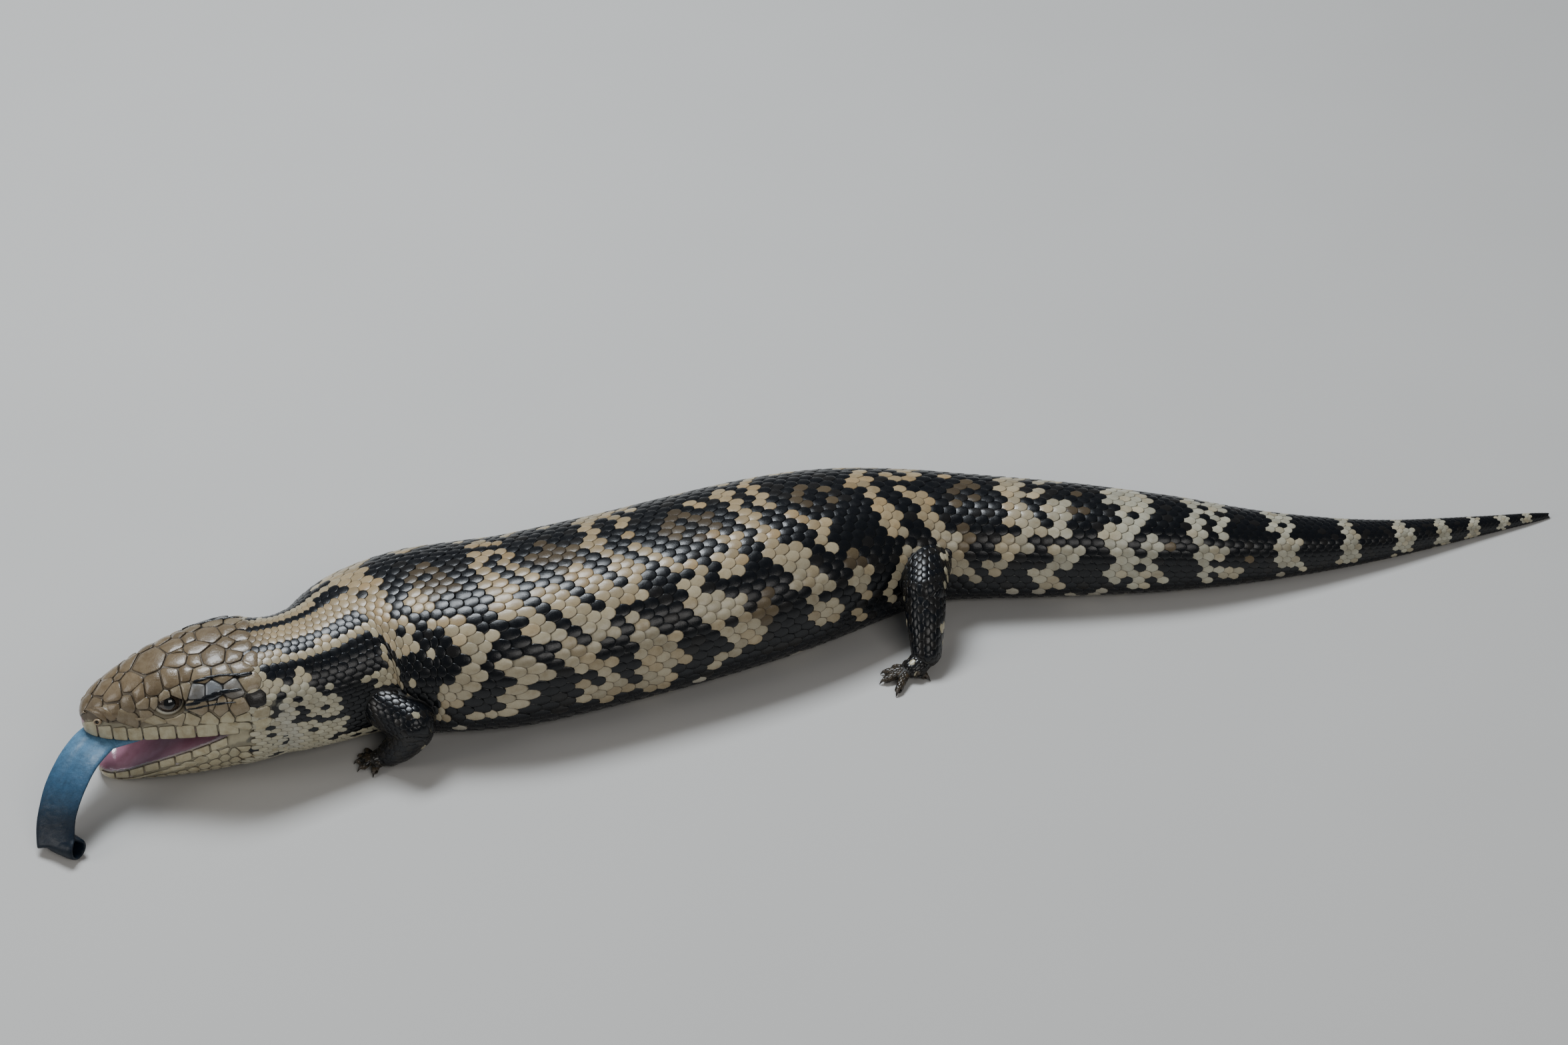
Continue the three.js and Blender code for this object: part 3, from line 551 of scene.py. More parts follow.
def body_colour(place, turn, column):
    """The colour of each scale of neck, trunk and tail. `column` numbers the scales, for their own draw."""
    place, turn = np.asarray(place, float), np.asarray(turn, float)
    round_it = np.abs(turn)
    own = hashed(column, np.floor(place * 3), 5)
    own2 = hashed(column, np.floor(place * 3), 9)
    flank = smooth(round_it, 0.12, 0.34)
    tail = smooth(place, 285, 350)
    patchy = 0.7 * (noise2(place / 4.2, turn * 24, 19) - 0.5) + 0.45 * (own - 0.5)
    light = chain_share(place, turn) + patchy > 0.1
    light &= (own2 > 0.06 + 0.1 * smooth(round_it, 0.1, 0.2)) | (place > 400)
    light |= (own2 > 0.965) & (round_it > 0.1) & (round_it < 0.4) & (place < 300)

    pale = mix(TAN, FLANK, flank[:, None])
    pale = mix(pale, PALE, (0.85 * tail)[:, None])
    pale = pale * (0.72 + 0.42 * own2)[:, None]
    pale = mix(pale, pale * [1.0, 0.86, 0.68], (own > 0.8)[:, None] * 0.45)
    dark = np.where((own > 0.84)[:, None], SOOT, BLACK)
    brown_share = np.zeros(len(place))
    for s, t, long, wide, share in BROWN_PATCHES:
        inside = 1 - np.hypot((place - s) / long, (np.abs(turn) - t) / wide)
        brown_share = np.maximum(brown_share, share * smooth(inside, 0.0, 0.35))
    brown = mix(OLIVE * 0.6, TAN * 0.42, (own2 ** 1.5 * mix(0.45, 1.0, smooth(round_it, 0.2, 0.3)))[:, None])
    dark = np.where((own < brown_share)[:, None], brown, dark)
    colour = np.where(light[:, None], pale, dark)

    # Painted shade: from the low flank down, scales are mostly near black as shade under the body, with a few
    # pale ones; lower on the belly the dark share eases and the belly's own pale mottle shows.
    under = noise2(place / 7, turn * 10, 51) + 0.3 * (own - 0.5) > 0.84 - 0.3 * smooth(round_it, 0.68, 0.8)
    belly = np.where(under[:, None], BELLY * (0.6 + 0.3 * own)[:, None], BLACK * 1.6)
    low = (round_it > 0.545 + 0.05 * own) & ((place < 350) | (own < 0.55))
    colour = np.where(low[:, None], belly, colour)

    # Tan nape with lengthwise black stripes.
    nape = (place < 88 + 4 * own) & (round_it < 0.3)
    wave = 0.008 * np.sin(place / 11) - 0.0008 * (place - 70)
    stripes = (np.abs(turn + 0.085 - wave) < 0.03) & (place < 92)
    stripes |= (np.abs(turn - 0.066 - wave) < 0.017) & (place < 86) & (own > 0.06)
    stripes |= (np.abs(turn - 0.125 - wave) < 0.016) & (place > 62) & (place < 90) & (own > 0.35)
    stripes |= (np.abs(turn - 0.2 - 0.0008 * (place - 68)) < 0.02) & (place > 59)
    stripes |= (np.abs(turn + 0.2) < 0.02) & (place > 60) & (own > 0.1)
    nape_colour = np.where(stripes[:, None], BLACK * 1.3, TAN * (0.8 + 0.3 * own2)[:, None])
    nape_colour = mix(nape_colour, HEAD_TAN * (0.9 + 0.3 * own2)[:, None],
        (smooth(place, 62, 52) * ~stripes)[:, None])
    nape_colour = mix(nape_colour, mix(nape_colour, CREAM, 0.6),
        smooth(round_it, 0.1, 0.2)[:, None] * (~stripes)[:, None])
    colour = np.where(nape[:, None], nape_colour, colour)

    # Cream side of the neck with black flecks, and a black patch above the front leg.
    side = (place < 79 + 3 * own) & (round_it > 0.3)
    fleck = 0.1 + 0.36 * smooth(place, 58, 76) * smooth(round_it, 0.72, 0.45)
    side_colour = np.where((own < fleck)[:, None], BLACK * 1.6,
        mix(CREAM, PALE, 0.45) * (0.84 + 0.24 * own2)[:, None])
    colour = np.where(side[:, None], side_colour, colour)
    edge = 0.9 * (noise2(place / 3.1, turn * 26, 8) - 0.5)
    patch = np.hypot((place - 75) / 13.5, (round_it - 0.25) / 0.062) + edge < 1
    patch |= (np.abs(place - 75.5) < 3.6 + 3 * edge) & (round_it > 0.25) & (round_it < 0.62)
    unlit = chain_share(place, turn) + edge < 0.05
    patch |= (place > 78) & (place < 106) & (round_it > 0.27) & (round_it < 0.6) & unlit
    crumbs = (np.hypot((place - 80.5) / 4.5, (round_it - 0.36) / 0.045) + edge < 1) & (own > 0.3)
    patch &= ~crumbs
    colour = np.where(patch[:, None], BLACK * (0.8 + 0.6 * own2)[:, None], colour)
    colour = np.where(crumbs[:, None], CREAM * (0.8 + 0.3 * own2)[:, None], colour)
    fold = (np.abs(place - 58 - 3 * (round_it - 0.5)) < 1.9) & (round_it > 0.36) & (round_it < 0.66)
    colour = np.where(fold[:, None], np.array([0.44, 0.425, 0.35]) * (0.85 + 0.2 * own2)[:, None], colour)
    spots = np.zeros(len(place), bool)
    for s, t, size in ((57.5, 0.33, 1.9), (60, 0.25, 2.1), (56, 0.2, 1.9)):
        spots |= np.hypot(place - s, (round_it - t) * 60) < size
    colour = np.where(spots[:, None], BLACK * 1.5, colour)
    return np.clip(colour, 0, 1)


# Scales: thin domed plates whose front tucks under the row before

def oval(count, squareness=2.4, point=0.12):
    """Outline shares along and across of one scale, a little narrower toward its rear."""
    angle = 2 * math.pi * np.arange(count) / count
    a, b = rounded(angle, squareness)
    return np.stack([a, b * (1 - point * a)], -1)


class Coat:
    """Collects scales and builds them as one object."""

    def __init__(self):
        self.points, self.quads, self.fans = [], [], []
        self.tint, self.spots, self.height, self.total = [], [], [], 0
        self.centres, self.centre_tints, self.roots = [], [], []

    def add(self, sheet, place, turn, edge, tint, chart, lift=0.42, dome=0.25, sink=0.4, base=0.05,
            levels=(0.5, 0.82, 0.97), roll=0.12):
        """Adds scales by their outlines, reaches along and across; `chart` gives the root map of a place."""
        place, turn, tint = np.asarray(place, float), np.asarray(turn, float), np.asarray(tint, float)
        count, around = edge.shape[:2]
        if count == 0:
            return
        shares = np.array([0.0, *levels, 1.0, 1.0])
        sizes = [1] + [around] * (len(levels) + 2) + [1]
        reach = np.max(np.linalg.norm(edge, axis=-1), axis=1)
        longest = np.max(np.abs(edge[..., 0]), axis=1)
        rows = []
        for k, share in enumerate([*shares, 0.0]):
            part = edge * share if sizes[k] > 1 else edge[:, :1] * 0
            tilt = part[..., 0] / longest[:, None]
            height = base + lift * (0.5 + 0.5 * tilt)
            height = height - 0.25 * lift * smooth(-tilt, 0.3, 1) + dome * (1 - share ** 2.4)
            if k == len(shares) - 2:
                height = height - roll
            if k >= len(shares) - 1:
                height = np.full(part.shape[:2], -sink)
            rows.append((part, height, np.full(part.shape[:2], share if k < len(shares) - 1 else 1.0)))
        part = np.concatenate([r[0] for r in rows], 1)
        height = np.concatenate([r[1] for r in rows], 1)
        where = place[:, None] + part[..., 0]
        half = sheet.half_length(place)[:, None]
        round_it = turn[:, None] + part[..., 1] / half
        spot, normal = sheet.at(where, round_it)
        points = spot + normal * height[..., None]
        points[..., 2] = np.maximum(points[..., 2], 0.02)
        each = points.shape[1]
        k = np.arange(around)
        after = (k + 1) % around
        quads, fans = [], [np.stack([np.zeros(around, int), 1 + k, 1 + after], -1)]
        rings = len(levels) + 2
        for ring in range(rings - 1):
            a, b = 1 + ring * around + k, 1 + ring * around + after
            quads.append(np.stack([a, a + around, b + around, b], -1))
        last = 1 + (rings - 1) * around
        fans.append(np.stack([np.full(around, each - 1), last + after, last + k], -1))
        quads, fans = np.vstack(quads)[:, ::sheet.hand], np.vstack(fans)[:, ::sheet.hand]
        offset = (np.arange(count) * each + self.total)[:, None, None]
        self.quads.append((quads[None] + offset).reshape(-1, 4))
        self.fans.append((fans[None] + offset).reshape(-1, 3))
        self.points.append(points.reshape(-1, 3))
        self.tint.append(np.repeat(tint, each, 0))
        edge_share = np.concatenate([r[2] for r in rows], 1)
        self.height.append(edge_share.reshape(-1))
        u, v = chart(place, turn)
        local = part / reach[:, None, None] * 0.0014
        spots = np.stack([u[:, None] + local[..., 0], v[:, None] + local[..., 1]], -1)
        self.spots.append(spots.reshape(-1, 2))
        self.roots.append(np.stack([u, v], -1))
        self.total += count * each
        self.centres.append(spot[:, 0])
        self.centre_tints.append(tint)

    def build(self, name):
        thing = mesh_object(name, np.vstack(self.points), [np.vstack(self.quads), np.vstack(self.fans)])
        set_point_colour(thing.data, "tint", np.vstack(self.tint))
        set_point_value(thing.data, "edge", np.concatenate(self.height))
        set_root_map(thing.data, np.vstack(self.spots))
        return thing


def chart_in(left, low, wide, high, start, end):
    def chart(place, turn):
        u = left + wide * (np.asarray(place, float) - start) / (end - start)
        return u, low + high * (np.asarray(turn, float) + 1) / 2
    return chart


body_chart = chart_in(0.02, 0.4, 0.96, 0.58, 44, 504)
head_chart = chart_in(0.02, 0.02, 0.2, 0.34, 0, 60)
jaw_chart = chart_in(0.24, 0.02, 0.2, 0.34, 0, 60)

# Distance from the snout: spacing of scales along a row, width on the back, share of that width on the side.
SCALE_SIZES = np.array([
    (44, 2.5, 4.9, 0.62), (58, 2.3, 5.1, 0.56), (80, 2.6, 5.6, 0.56), (94, 3.7, 6.3, 0.72),
    (120, 4.6, 6.4, 0.9), (270, 4.6, 6.3, 0.92), (320, 4.2, 5.9, 0.93), (360, 3.8, 5.2, 0.95),
    (400, 3.1, 4.2, 1), (440, 2.4, 3.1, 1), (480, 1.7, 2.1, 1), (503, 1.2, 1.5, 1),
])
TURN_STEPS = np.linspace(0, 1, 201)


def turns_round(half, width, side_share, shifted, from_turn=0.2, to_turn=0.42):
    """Turns of the scales of one ring, counted from the middle of the back both ways."""
    widths = width * mix(1, side_share, smooth(TURN_STEPS, from_turn, to_turn))
    rate = half / widths
    count = np.concatenate([[0], np.cumsum((rate[1:] + rate[:-1]) / 2 * np.diff(TURN_STEPS))])
    wanted = np.arange(0.5 if shifted else 0.0, count[-1] - 0.2, 1.0)
    turn = np.interp(wanted, count, TURN_STEPS)
    left = np.stack([turn, np.interp(turn, TURN_STEPS, widths), np.arange(len(turn))], -1)
    right = left[(0 if shifted else 1):] * [-1, 1, 1] + [0, 0, 500]
    return np.vstack([left, right])


OVAL = oval(14)
# Where each piece of the coat ends, as a distance from the snout.
COAT_ENDS = [
    ("coat_neck", 74), ("coat_shoulder", 100), ("coat_trunk_front", 165), ("coat_trunk_middle", 232),
    ("coat_trunk_rear", 300), ("coat_tail_front", 380), ("coat_tail_rear", BODY_END),
]


def body_coats():
    """Scales of neck, trunk and tail, in pieces."""
    coats = {}
    place, index = 47.0, 0
    while place < BODY_END - 1.2:
        step, width, side_share = (float(size_at(SCALE_SIZES, place, k)) for k in (1, 2, 3))
        half = float(body.half_length(place))
        turn, widths, order = turns_round(half, width, side_share, index % 2).T
        column = order * 2 + 1009 * index
        where = place + (hashed(column, 3) - 0.5) * step * 0.1
        turn = turn + (hashed(column, 4) - 0.5) * 0.07 * widths / half
        tint = body_colour(where, turn, column)
        keep = np.ones(len(where), bool)
        if place < 58:
            round_it = np.abs(turn)
            keep = (round_it > 0.36) | (place > 51.4)
            on_ear = (np.abs(place - EAR_ALONG) < 1.0) & (np.abs(ear_drop(turn, place)) < 2.6)
            keep &= ~on_ear
            keep &= (place > 49.5) | (round_it > 0.66)
        length = 1.26 * step * (0.97 + 0.06 * hashed(column, 8))
        wide = 0.72 * widths * (0.97 + 0.06 * hashed(column, 6))
        edge = OVAL[None] * np.stack([length / 2, wide / 2], -1)[:, None]
        thick = float(np.interp(place, [47, 80, 110, 300, 400, 503], [0.28, 0.34, 0.5, 0.45, 0.3, 0.1]))
        name = next(piece for piece, end in COAT_ENDS if place < end)
        coat = coats.setdefault(name, Coat())
        coat.add(body, where[keep], turn[keep], edge[keep], tint[keep], body_chart,
                 lift=thick, dome=thick * 0.5, sink=0.3, base=0.02, roll=thick * 0.4)
        place += step / 2
        index += 1
    return coats


EAR_ALONG, EAR_HEIGHT = 56.0, 30.0


def ear_drop(turn, place):
    """Height above the ear's middle of a point on the body, in millimetres."""
    spot, _ = body.at(np.full(np.shape(turn), float(place)), turn)
    return spot[..., 2] - EAR_HEIGHT


# Head shields: cells round listed seeds, each a raised plate with a rounded edge

def clip(polygon, point, normal):
    """The part of a polygon on the side of a line that its normal points away from."""
    out = []
    n = len(polygon)
    side = [float(np.dot(p - point, normal)) for p in polygon]
    for i in range(n):
        a, b, sa, sb = polygon[i], polygon[(i + 1) % n], side[i], side[(i + 1) % n]
        if sa <= 0:
            out.append(a)
        if (sa < 0 < sb) or (sb < 0 < sa):
            out.append(a + (b - a) * sa / (sa - sb))
    return out


def cells(seeds, weights, frame_box):
    """Cells of seeds in a plane, inside a box; larger weights push their borders out."""
    low, high = frame_box
    result = []
    for i, seed in enumerate(seeds):
        polygon = [np.array(p, float)
            for p in ((low[0], low[1]), (high[0], low[1]), (high[0], high[1]), (low[0], high[1]))]
        order = np.argsort(np.linalg.norm(seeds - seed, axis=1))[1:26]
        for j in order:
            step = seeds[j] - seed
            far = float(np.linalg.norm(step))
            share = 0.5 + (weights[i] - weights[j]) / (2 * far * far)
            polygon = clip(polygon, seed + step * np.clip(share, 0.15, 0.85), step / far)
            if len(polygon) < 3:
                break
        result.append(np.array(polygon) if len(polygon) >= 3 else None)
    return result


def outline_of(polygon, centre, count, inset, roundness=0.35):
    """A polygon as `count` reaches from its centre, drawn in by an inset and with rounded corners."""
    angles = 2 * math.pi * np.arange(count) / count
    reach = np.zeros(count)
    p = polygon - centre
    q = np.roll(p, -1, axis=0)
    for k, angle in enumerate(angles):
        ray = np.array([math.cos(angle), math.sin(angle)])
        best = 1e9
        for a, b in zip(p, q):
            edge = b - a
            cross = ray[0] * edge[1] - ray[1] * edge[0]
            if abs(cross) < 1e-9:
                continue
            t = (a[0] * edge[1] - a[1] * edge[0]) / cross
            w = (a[0] * ray[1] - a[1] * ray[0]) / cross
            if t > 0 and -1e-6 <= w <= 1 + 1e-6:
                best = min(best, t)
        reach[k] = best if best < 1e8 else 0.3
    near = (np.roll(reach, 1) + np.roll(reach, -1)) / 2
    reach = mix(reach, np.minimum(reach, near), roundness)
    reach = np.maximum(reach - inset, 0.35)
    return np.stack([np.cos(angles), np.sin(angles)], -1) * reach[:, None]


# Seeds of one side: distance from the snout, distance from the head's middle line, weight.
MIDDLE_SHIELDS = [
    (1.6, 0, 4), (8.2, 0, 6), (13.4, 0, -3), (22.6, 0, 26), (31.5, 0, -4), (37.6, 0, 8), (47.4, 0, 0),
]
SIDE_SHIELDS = [
    (4.6, 3.4, 2), (11.2, 4.4, 6), (16.4, 4.2, 10), (4.9, 8.3, 2), (9.8, 9.6, 2), (14.8, 10.2, 2),
    (18.4, 9.6, 3), (23, 9.3, 8), (28, 9.4, 8), (32.6, 9.6, 3), (30.4, 4.1, 8), (36.2, 5.6, 4),
    (41.6, 5.6, 14), (37.8, 11.4, 6), (43.4, 12.6, 8), (47.6, 6.8, 4), (50.4, 2.6, 2), (49.4, 11.6, 3),
    (52.6, 8.4, 0),
    (19.6, 13.3, -1), (22.6, 13.9, -1), (25.8, 14.3, -1), (29, 14.4, -1), (32, 14.8, -1),
    (19, 17.2, 0), (35.4, 16.6, 5), (40.4, 17.6, 7), (46, 18.2, 6), (50.6, 17, 2),
    (35.4, 21, 4), (41, 22.6, 8), (47, 23.6, 6), (51.4, 22.4, 2),
]
# Seeds above the lip plates: distance from the snout, distance in from the rim.
RIM_SHIELDS = [(3.4, 6.4), (7.4, 6.9), (11.6, 6.9), (15.6, 6.7), (19.8, 6.3), (24, 6.1), (28.4, 6),
               (33, 6.3), (38, 7.2), (43.4, 7.2), (40, 10.8), (45, 11)]
# Edges of the lip plates as distances from the snout, and how tall the plates are.
UPPER_LIP = [0.3, 4.4, 8.6, 12.9, 17.4, 22.1, 27.2, 33, 39.6, 46.6]
LOWER_LIP = [3.2, 7.2, 11.5, 16, 20.7, 25.6, 30.8, 36.4, 42.4]
UPPER_TALL, LOWER_TALL = 4.8, 3.2
# Clear space round the eye, along and across, and the last place a shield may be seeded.
EYE_TURN = 18.4
EYE_CLEAR_LONG, EYE_CLEAR_HIGH = 4.8, 3.6
LAST_SHIELD = 56


def head_shields():
    """Plates over the top and sides of the head, down to the lip."""
    coat = Coat()
    rows = [(d, 0.0, w) for d, _, w in MIDDLE_SHIELDS]
    for d, across, weight in SIDE_SHIELDS:
        rows += [(d, across, weight), (d, -across, weight)]
    for d, back in RIM_SHIELDS:
        half = float(head.half_length(d))
        for way in (1, -1):
            rows.append((d, way * (half - back), 0))
    for d in (48.6, 52.6):
        for way in (1, -1):
            half = float(head.half_length(d))
            for back in (2.4, 6.6):
                rows.append((d, way * (half - back), 0))
    rows += [(57.4 - 0.04 * abs(k), 4.6 * k, 0) for k in range(-7, 8)]
    rows += [(EYE_ALONG + ahead, way * EYE_TURN, -4) for way in (1, -1) for ahead in (-1.6, 1.6)]
    rows = np.array(rows)
    seeds, weights = rows[:, :2], rows[:, 2]
    jitter = np.stack([hashed(np.arange(len(rows)), 1), hashed(np.arange(len(rows)), 2)], -1) - 0.5
    seeds = seeds + 0.9 * jitter * (np.abs(seeds[:, 1:]) > 0.1)
    places, turns, edges, tints = [], [], [], []
    for i, polygon in enumerate(cells(seeds, weights, ((-0.4, -34.0), (59.0, 34.0)))):
        if polygon is None or seeds[i][0] > LAST_SHIELD:
            continue
        half = float(head.half_length(max(seeds[i][0], 0.5)))
        halves = np.array([float(head.half_length(max(p[0], 0.4))) for p in polygon])
        kept = np.where(polygon[:, 0] < 46.6, 4.3, 0.1)
        polygon[:, 1] = np.clip(polygon[:, 1], -halves + kept, halves - kept)
        centre = polygon.mean(axis=0)
        if np.linalg.norm(polygon.max(0) - polygon.min(0)) < 1.4:
            continue
        eye_gap = np.hypot((seeds[i][0] - EYE_ALONG) / 4.6, (abs(seeds[i][1]) - EYE_TURN) / 3.6)
        if eye_gap < 1.0:
            continue
        if EYE_ALONG - 8 < centre[0] < EYE_ALONG + 8:
            away = np.array([(polygon[:, 0] - EYE_ALONG) / EYE_CLEAR_LONG,
                             (np.abs(polygon[:, 1]) - EYE_TURN) / EYE_CLEAR_HIGH])
            size = np.maximum(np.linalg.norm(away, axis=0), 1e-6)
            push = np.maximum(1 / size, 1)
            polygon[:, 0] = EYE_ALONG + (polygon[:, 0] - EYE_ALONG) * push
            polygon[:, 1] = np.sign(polygon[:, 1]) * (EYE_TURN + (np.abs(polygon[:, 1]) - EYE_TURN) * push)
            centre = polygon.mean(axis=0)
        edge = outline_of(polygon, centre, 32, 0.02, 0.3)
        places.append(centre[0])
        turns.append(centre[1] / half)
        edges.append(edge)
        tints.append(head_colour(centre[0], centre[1], half, i))
    places, turns, edges, tints = map(np.array, (places, turns, edges, tints))
    coat.add(head, places, turns, edges, tints, head_chart, lift=0.34, dome=0.42, sink=0.6, base=0.04,
             levels=(0.3, 0.6, 0.8, 0.9, 0.96), roll=0.3)
    plate_row(head, UPPER_LIP, UPPER_TALL, (0.9, 3), coat, head_chart, 0.2)

    # Dark streaks along the seams behind the eye.
    for across, first, last in ((13.6, 37, 51), (18.9, 33.5, 49), (21.4, 34, 46)):
        for d in np.arange(first, last, 2.6):
            own = float(hashed(int(d * 10), int(across)))
            size = oval(28, 2, 0) * [2.4, (0.16 if across > 20 else 0.34) + 0.4 * own]
            half = float(head.half_length(d))
            lean = 0.5 * math.sin(d / 4 + across)
            coat.add(head, [d, d], [(across + lean) / half, -(across + lean) / half], np.array([size, size]),
                     np.array([BLACK * 1.5] * 2), head_chart, lift=0.05, dome=0.2, sink=0.2, base=0.62,
                     levels=(0.3, 0.6, 0.8, 0.9, 0.96), roll=0.3)
    return coat


def head_colour(d, across, half, index):
    """Tan shields on top, cream at the lip, grey ones behind the eye, tinted faintly blue as a painted sheen.
    """
    own, own2 = float(hashed(index, 11)), float(hashed(index, 17))
    down = abs(across)
    top = HEAD_TAN * (0.82 + 0.34 * own)
    side = np.array([0.25, 0.205, 0.135]) * (0.86 + 0.22 * own)
    colour = mix(top, side, float(smooth(down, 9, 15)))
    colour = mix(colour, LIP_CREAM * (0.95 + 0.1 * own2), float(smooth(down, half - 9, half - 5)))
    behind = float(smooth(d, 32, 35)) * float(smooth(d, 51, 48))
    behind = behind * float(smooth(down, 12, 14)) * float(smooth(down, 20.5, 18.5))
    # Behind the eye the shields are grey, their faint blue tint a painted sheen.
    colour = mix(colour, mix(np.array([0.12, 0.13, 0.15]), GREY_WITH_PAINTED_SHEEN, own2 ** 0.8),
        behind * (0.45 + 0.55 * own))
    if (46 < d < 53 and 15 < down < 24 and own2 > 0.72) or (33 < d < 46 and 18.5 < down < 20.5 and own > 0.7):
        colour = np.array([0.02, 0.018, 0.016])
    return colour


def plate_row(sheet, edges_along, tall, shade, coat, chart, dome):
    """Squared plates side by side along a rim. `shade` is the least brightness and a number for the draw."""
    least, draw = shade
    places, turns, edges, tints = [], [], [], []
    for i, (front, rear) in enumerate(zip(edges_along[:-1], edges_along[1:])):
        middle = (front + rear) / 2
        half = float(sheet.half_length(middle))
        for way in (1, -1):
            places.append(middle)
            turns.append(way * (half - tall / 2) / half)
            edges.append(oval(28, 9, 0) * [(rear - front) / 2 - 0.06, tall / 2])
            tints.append(LIP_CREAM * (least + 0.12 * float(hashed(i, way + draw))))
    coat.add(sheet, places, turns, np.array(edges), tints, chart, lift=0.1, dome=dome, sink=0.45, base=0.1,
             levels=(0.35, 0.7, 0.9, 0.975), roll=0.14)


def jaw_plates():
    """The row of plates along the lower lip and the flat scales under the chin and throat."""
    coat = Coat()
    rows = []
    for k, d in enumerate(np.arange(7.5, 58, 3.3)):
        half = float(jaw.half_length(d))
        count = int(half / 4.2)
        shift = 0.5 * (k % 2)
        for i in range(-count - 1, count + 2):
            across = (i + shift) * 4.2
            if abs(across) < half - (3.9 if d < 44 else 0.3):
                rows.append((d, across, 0))
    rows = np.array(rows)
    seeds, weights = rows[:, :2], rows[:, 2]
    places, turns, edges, tints = [], [], [], []
    for i, polygon in enumerate(cells(seeds, weights, ((3.0, -30.0), (58.5, 30.0)))):
        if polygon is None:
            continue
        halves = np.array([float(jaw.half_length(p[0])) for p in polygon])
        kept = np.where(polygon[:, 0] < 42.4, 2.8, 0.05)
        polygon[:, 1] = np.clip(polygon[:, 1], -halves + kept, halves - kept)
        centre = polygon.mean(axis=0)
        if np.linalg.norm(polygon.max(0) - polygon.min(0)) < 1.4:
            continue
        half = float(jaw.half_length(centre[0]))
        own = float(hashed(i, 31))
        tint = LIP_CREAM * (0.86 + 0.24 * own)
        if centre[0] > 47 and float(hashed(i, 37)) > 0.8:
            tint = BLACK * 3
        places.append(centre[0])
        turns.append(centre[1] / half)
        edges.append(outline_of(polygon, centre, 18, 0.02, 0.2))
        tints.append(tint)
    coat.add(jaw, places, turns, np.array(edges), tints, jaw_chart, lift=0.25, dome=0.22, sink=0.4, base=0.05,
             levels=(0.45, 0.8, 0.94), roll=0.16)
    plate_row(jaw, LOWER_LIP, LOWER_TALL, (1.0, 5), coat, jaw_chart, 0.16)
    return coat


# Limbs: tubes as sheets, with rows of small scales round each length

def sheet_of(rings, centres):
    length = np.concatenate([[0], np.cumsum(np.linalg.norm(np.diff(centres, axis=0), axis=1))])
    return Sheet(length, list(rings), closed=True, turns=65)


LENGTHS, CHARTS = [], {}
for limb_name, limb in LIMBS.items():
    palm_line = palm_stations(limb)
    lengths = [("upper", limb["upper"], 1.0), ("lower", limb["lower"], 1.0), ("palm", palm_line, 0.8)]
    lengths += [(f"digit_{k}", digit_stations(limb, k)[0], 1.0) for k in range(5)]
    for kind, stations, flat in lengths:
        LENGTHS.append((limb_name, kind, tube(stations, 8, flat, 48)))
        cell = len(LENGTHS) - 1
        sheet = sheet_of(*LENGTHS[-1][2])
        corner = (0.48 + 0.062 * (cell % 8), 0.02 + 0.085 * (cell // 8))
        chart = chart_in(*corner, 0.055, 0.075, 0, sheet.places[-1])
        CHARTS[limb_name, kind] = (sheet, chart)


def limb_colour(limb_name, kind, place, turn, column):
    """Black with a few pale specks; a pale ring at the hind knee; brown fingers."""
    own, own2 = hashed(column, 61), hashed(column, 67)
    dark = np.where((own2 > 0.6)[:, None], SOOT * 1.1, BLACK * 1.3)
    pale = CREAM * (0.6 + 0.4 * own2)[:, None]
    front = limb_name.startswith("front")
    if kind.startswith("digit"):
        dark = mix(SOOT, OLIVE, 0.5 * own[:, None]) * (0.8 + 0.5 * own2)[:, None]
        light = own > 0.975
    elif kind == "palm":
        dark = SOOT * (0.6 + 0.8 * own2)[:, None]
        light = own > 0.93
    else:
        light = own > (0.975 if front else 0.95)
    if not front and kind == "upper":
        light |= (place > 10) & (place < 17) & (own > 0.72) & (np.abs(turn) > 0.12)
    if front and kind == "upper":
        light |= (place < 9) & (own > 0.8)
    return np.where(light[:, None], pale, dark)


def limb_coats():
    coats = {}
    for limb_name, kind, _ in LENGTHS:
        sheet, chart = CHARTS[limb_name, kind]
        front = limb_name.startswith("front")
        digit, palm_part = kind.startswith("digit"), kind == "palm"
        step, wide = (1.7, 2.2) if digit else (2.1, 2.9) if palm_part else (2.5, 3.6) if front else (2.7, 4)
        coat = coats.setdefault("coat_" + limb_name, Coat())
        place, index = 0.4, 0
        while place < sheet.places[-1] - 0.3:
            half = float(sheet.half_length(place))
            turn, widths, order = turns_round(half, wide, 1.0, index % 2).T
            own = order * 3 + 977 * index + 31 * len(limb_name) + 131 * int(palm_part)
            where = place + (hashed(own, 3) - 0.5) * step * 0.12
            turn = turn + (hashed(own, 4) - 0.5) * 0.1 * widths / half
            length = step * 1.24 * (0.95 + 0.1 * hashed(own, 5))
            across = 0.72 * widths * (0.95 + 0.1 * hashed(own, 6))
            edge = oval(10, 2.3, 0.16)[None] * np.stack([length / 2, across / 2], -1)[:, None]
            thick = 0.13 if digit else 0.16 if palm_part or front else 0.2
            tint = limb_colour(limb_name, kind, where, turn, own)
            coat.add(sheet, where, turn, edge, tint, chart, lift=thick, dome=thick * 0.6, sink=0.2, base=0.0,
                     levels=(0.55, 0.9), roll=thick * 0.4)
            place += step / 2
            index += 1
    return coats


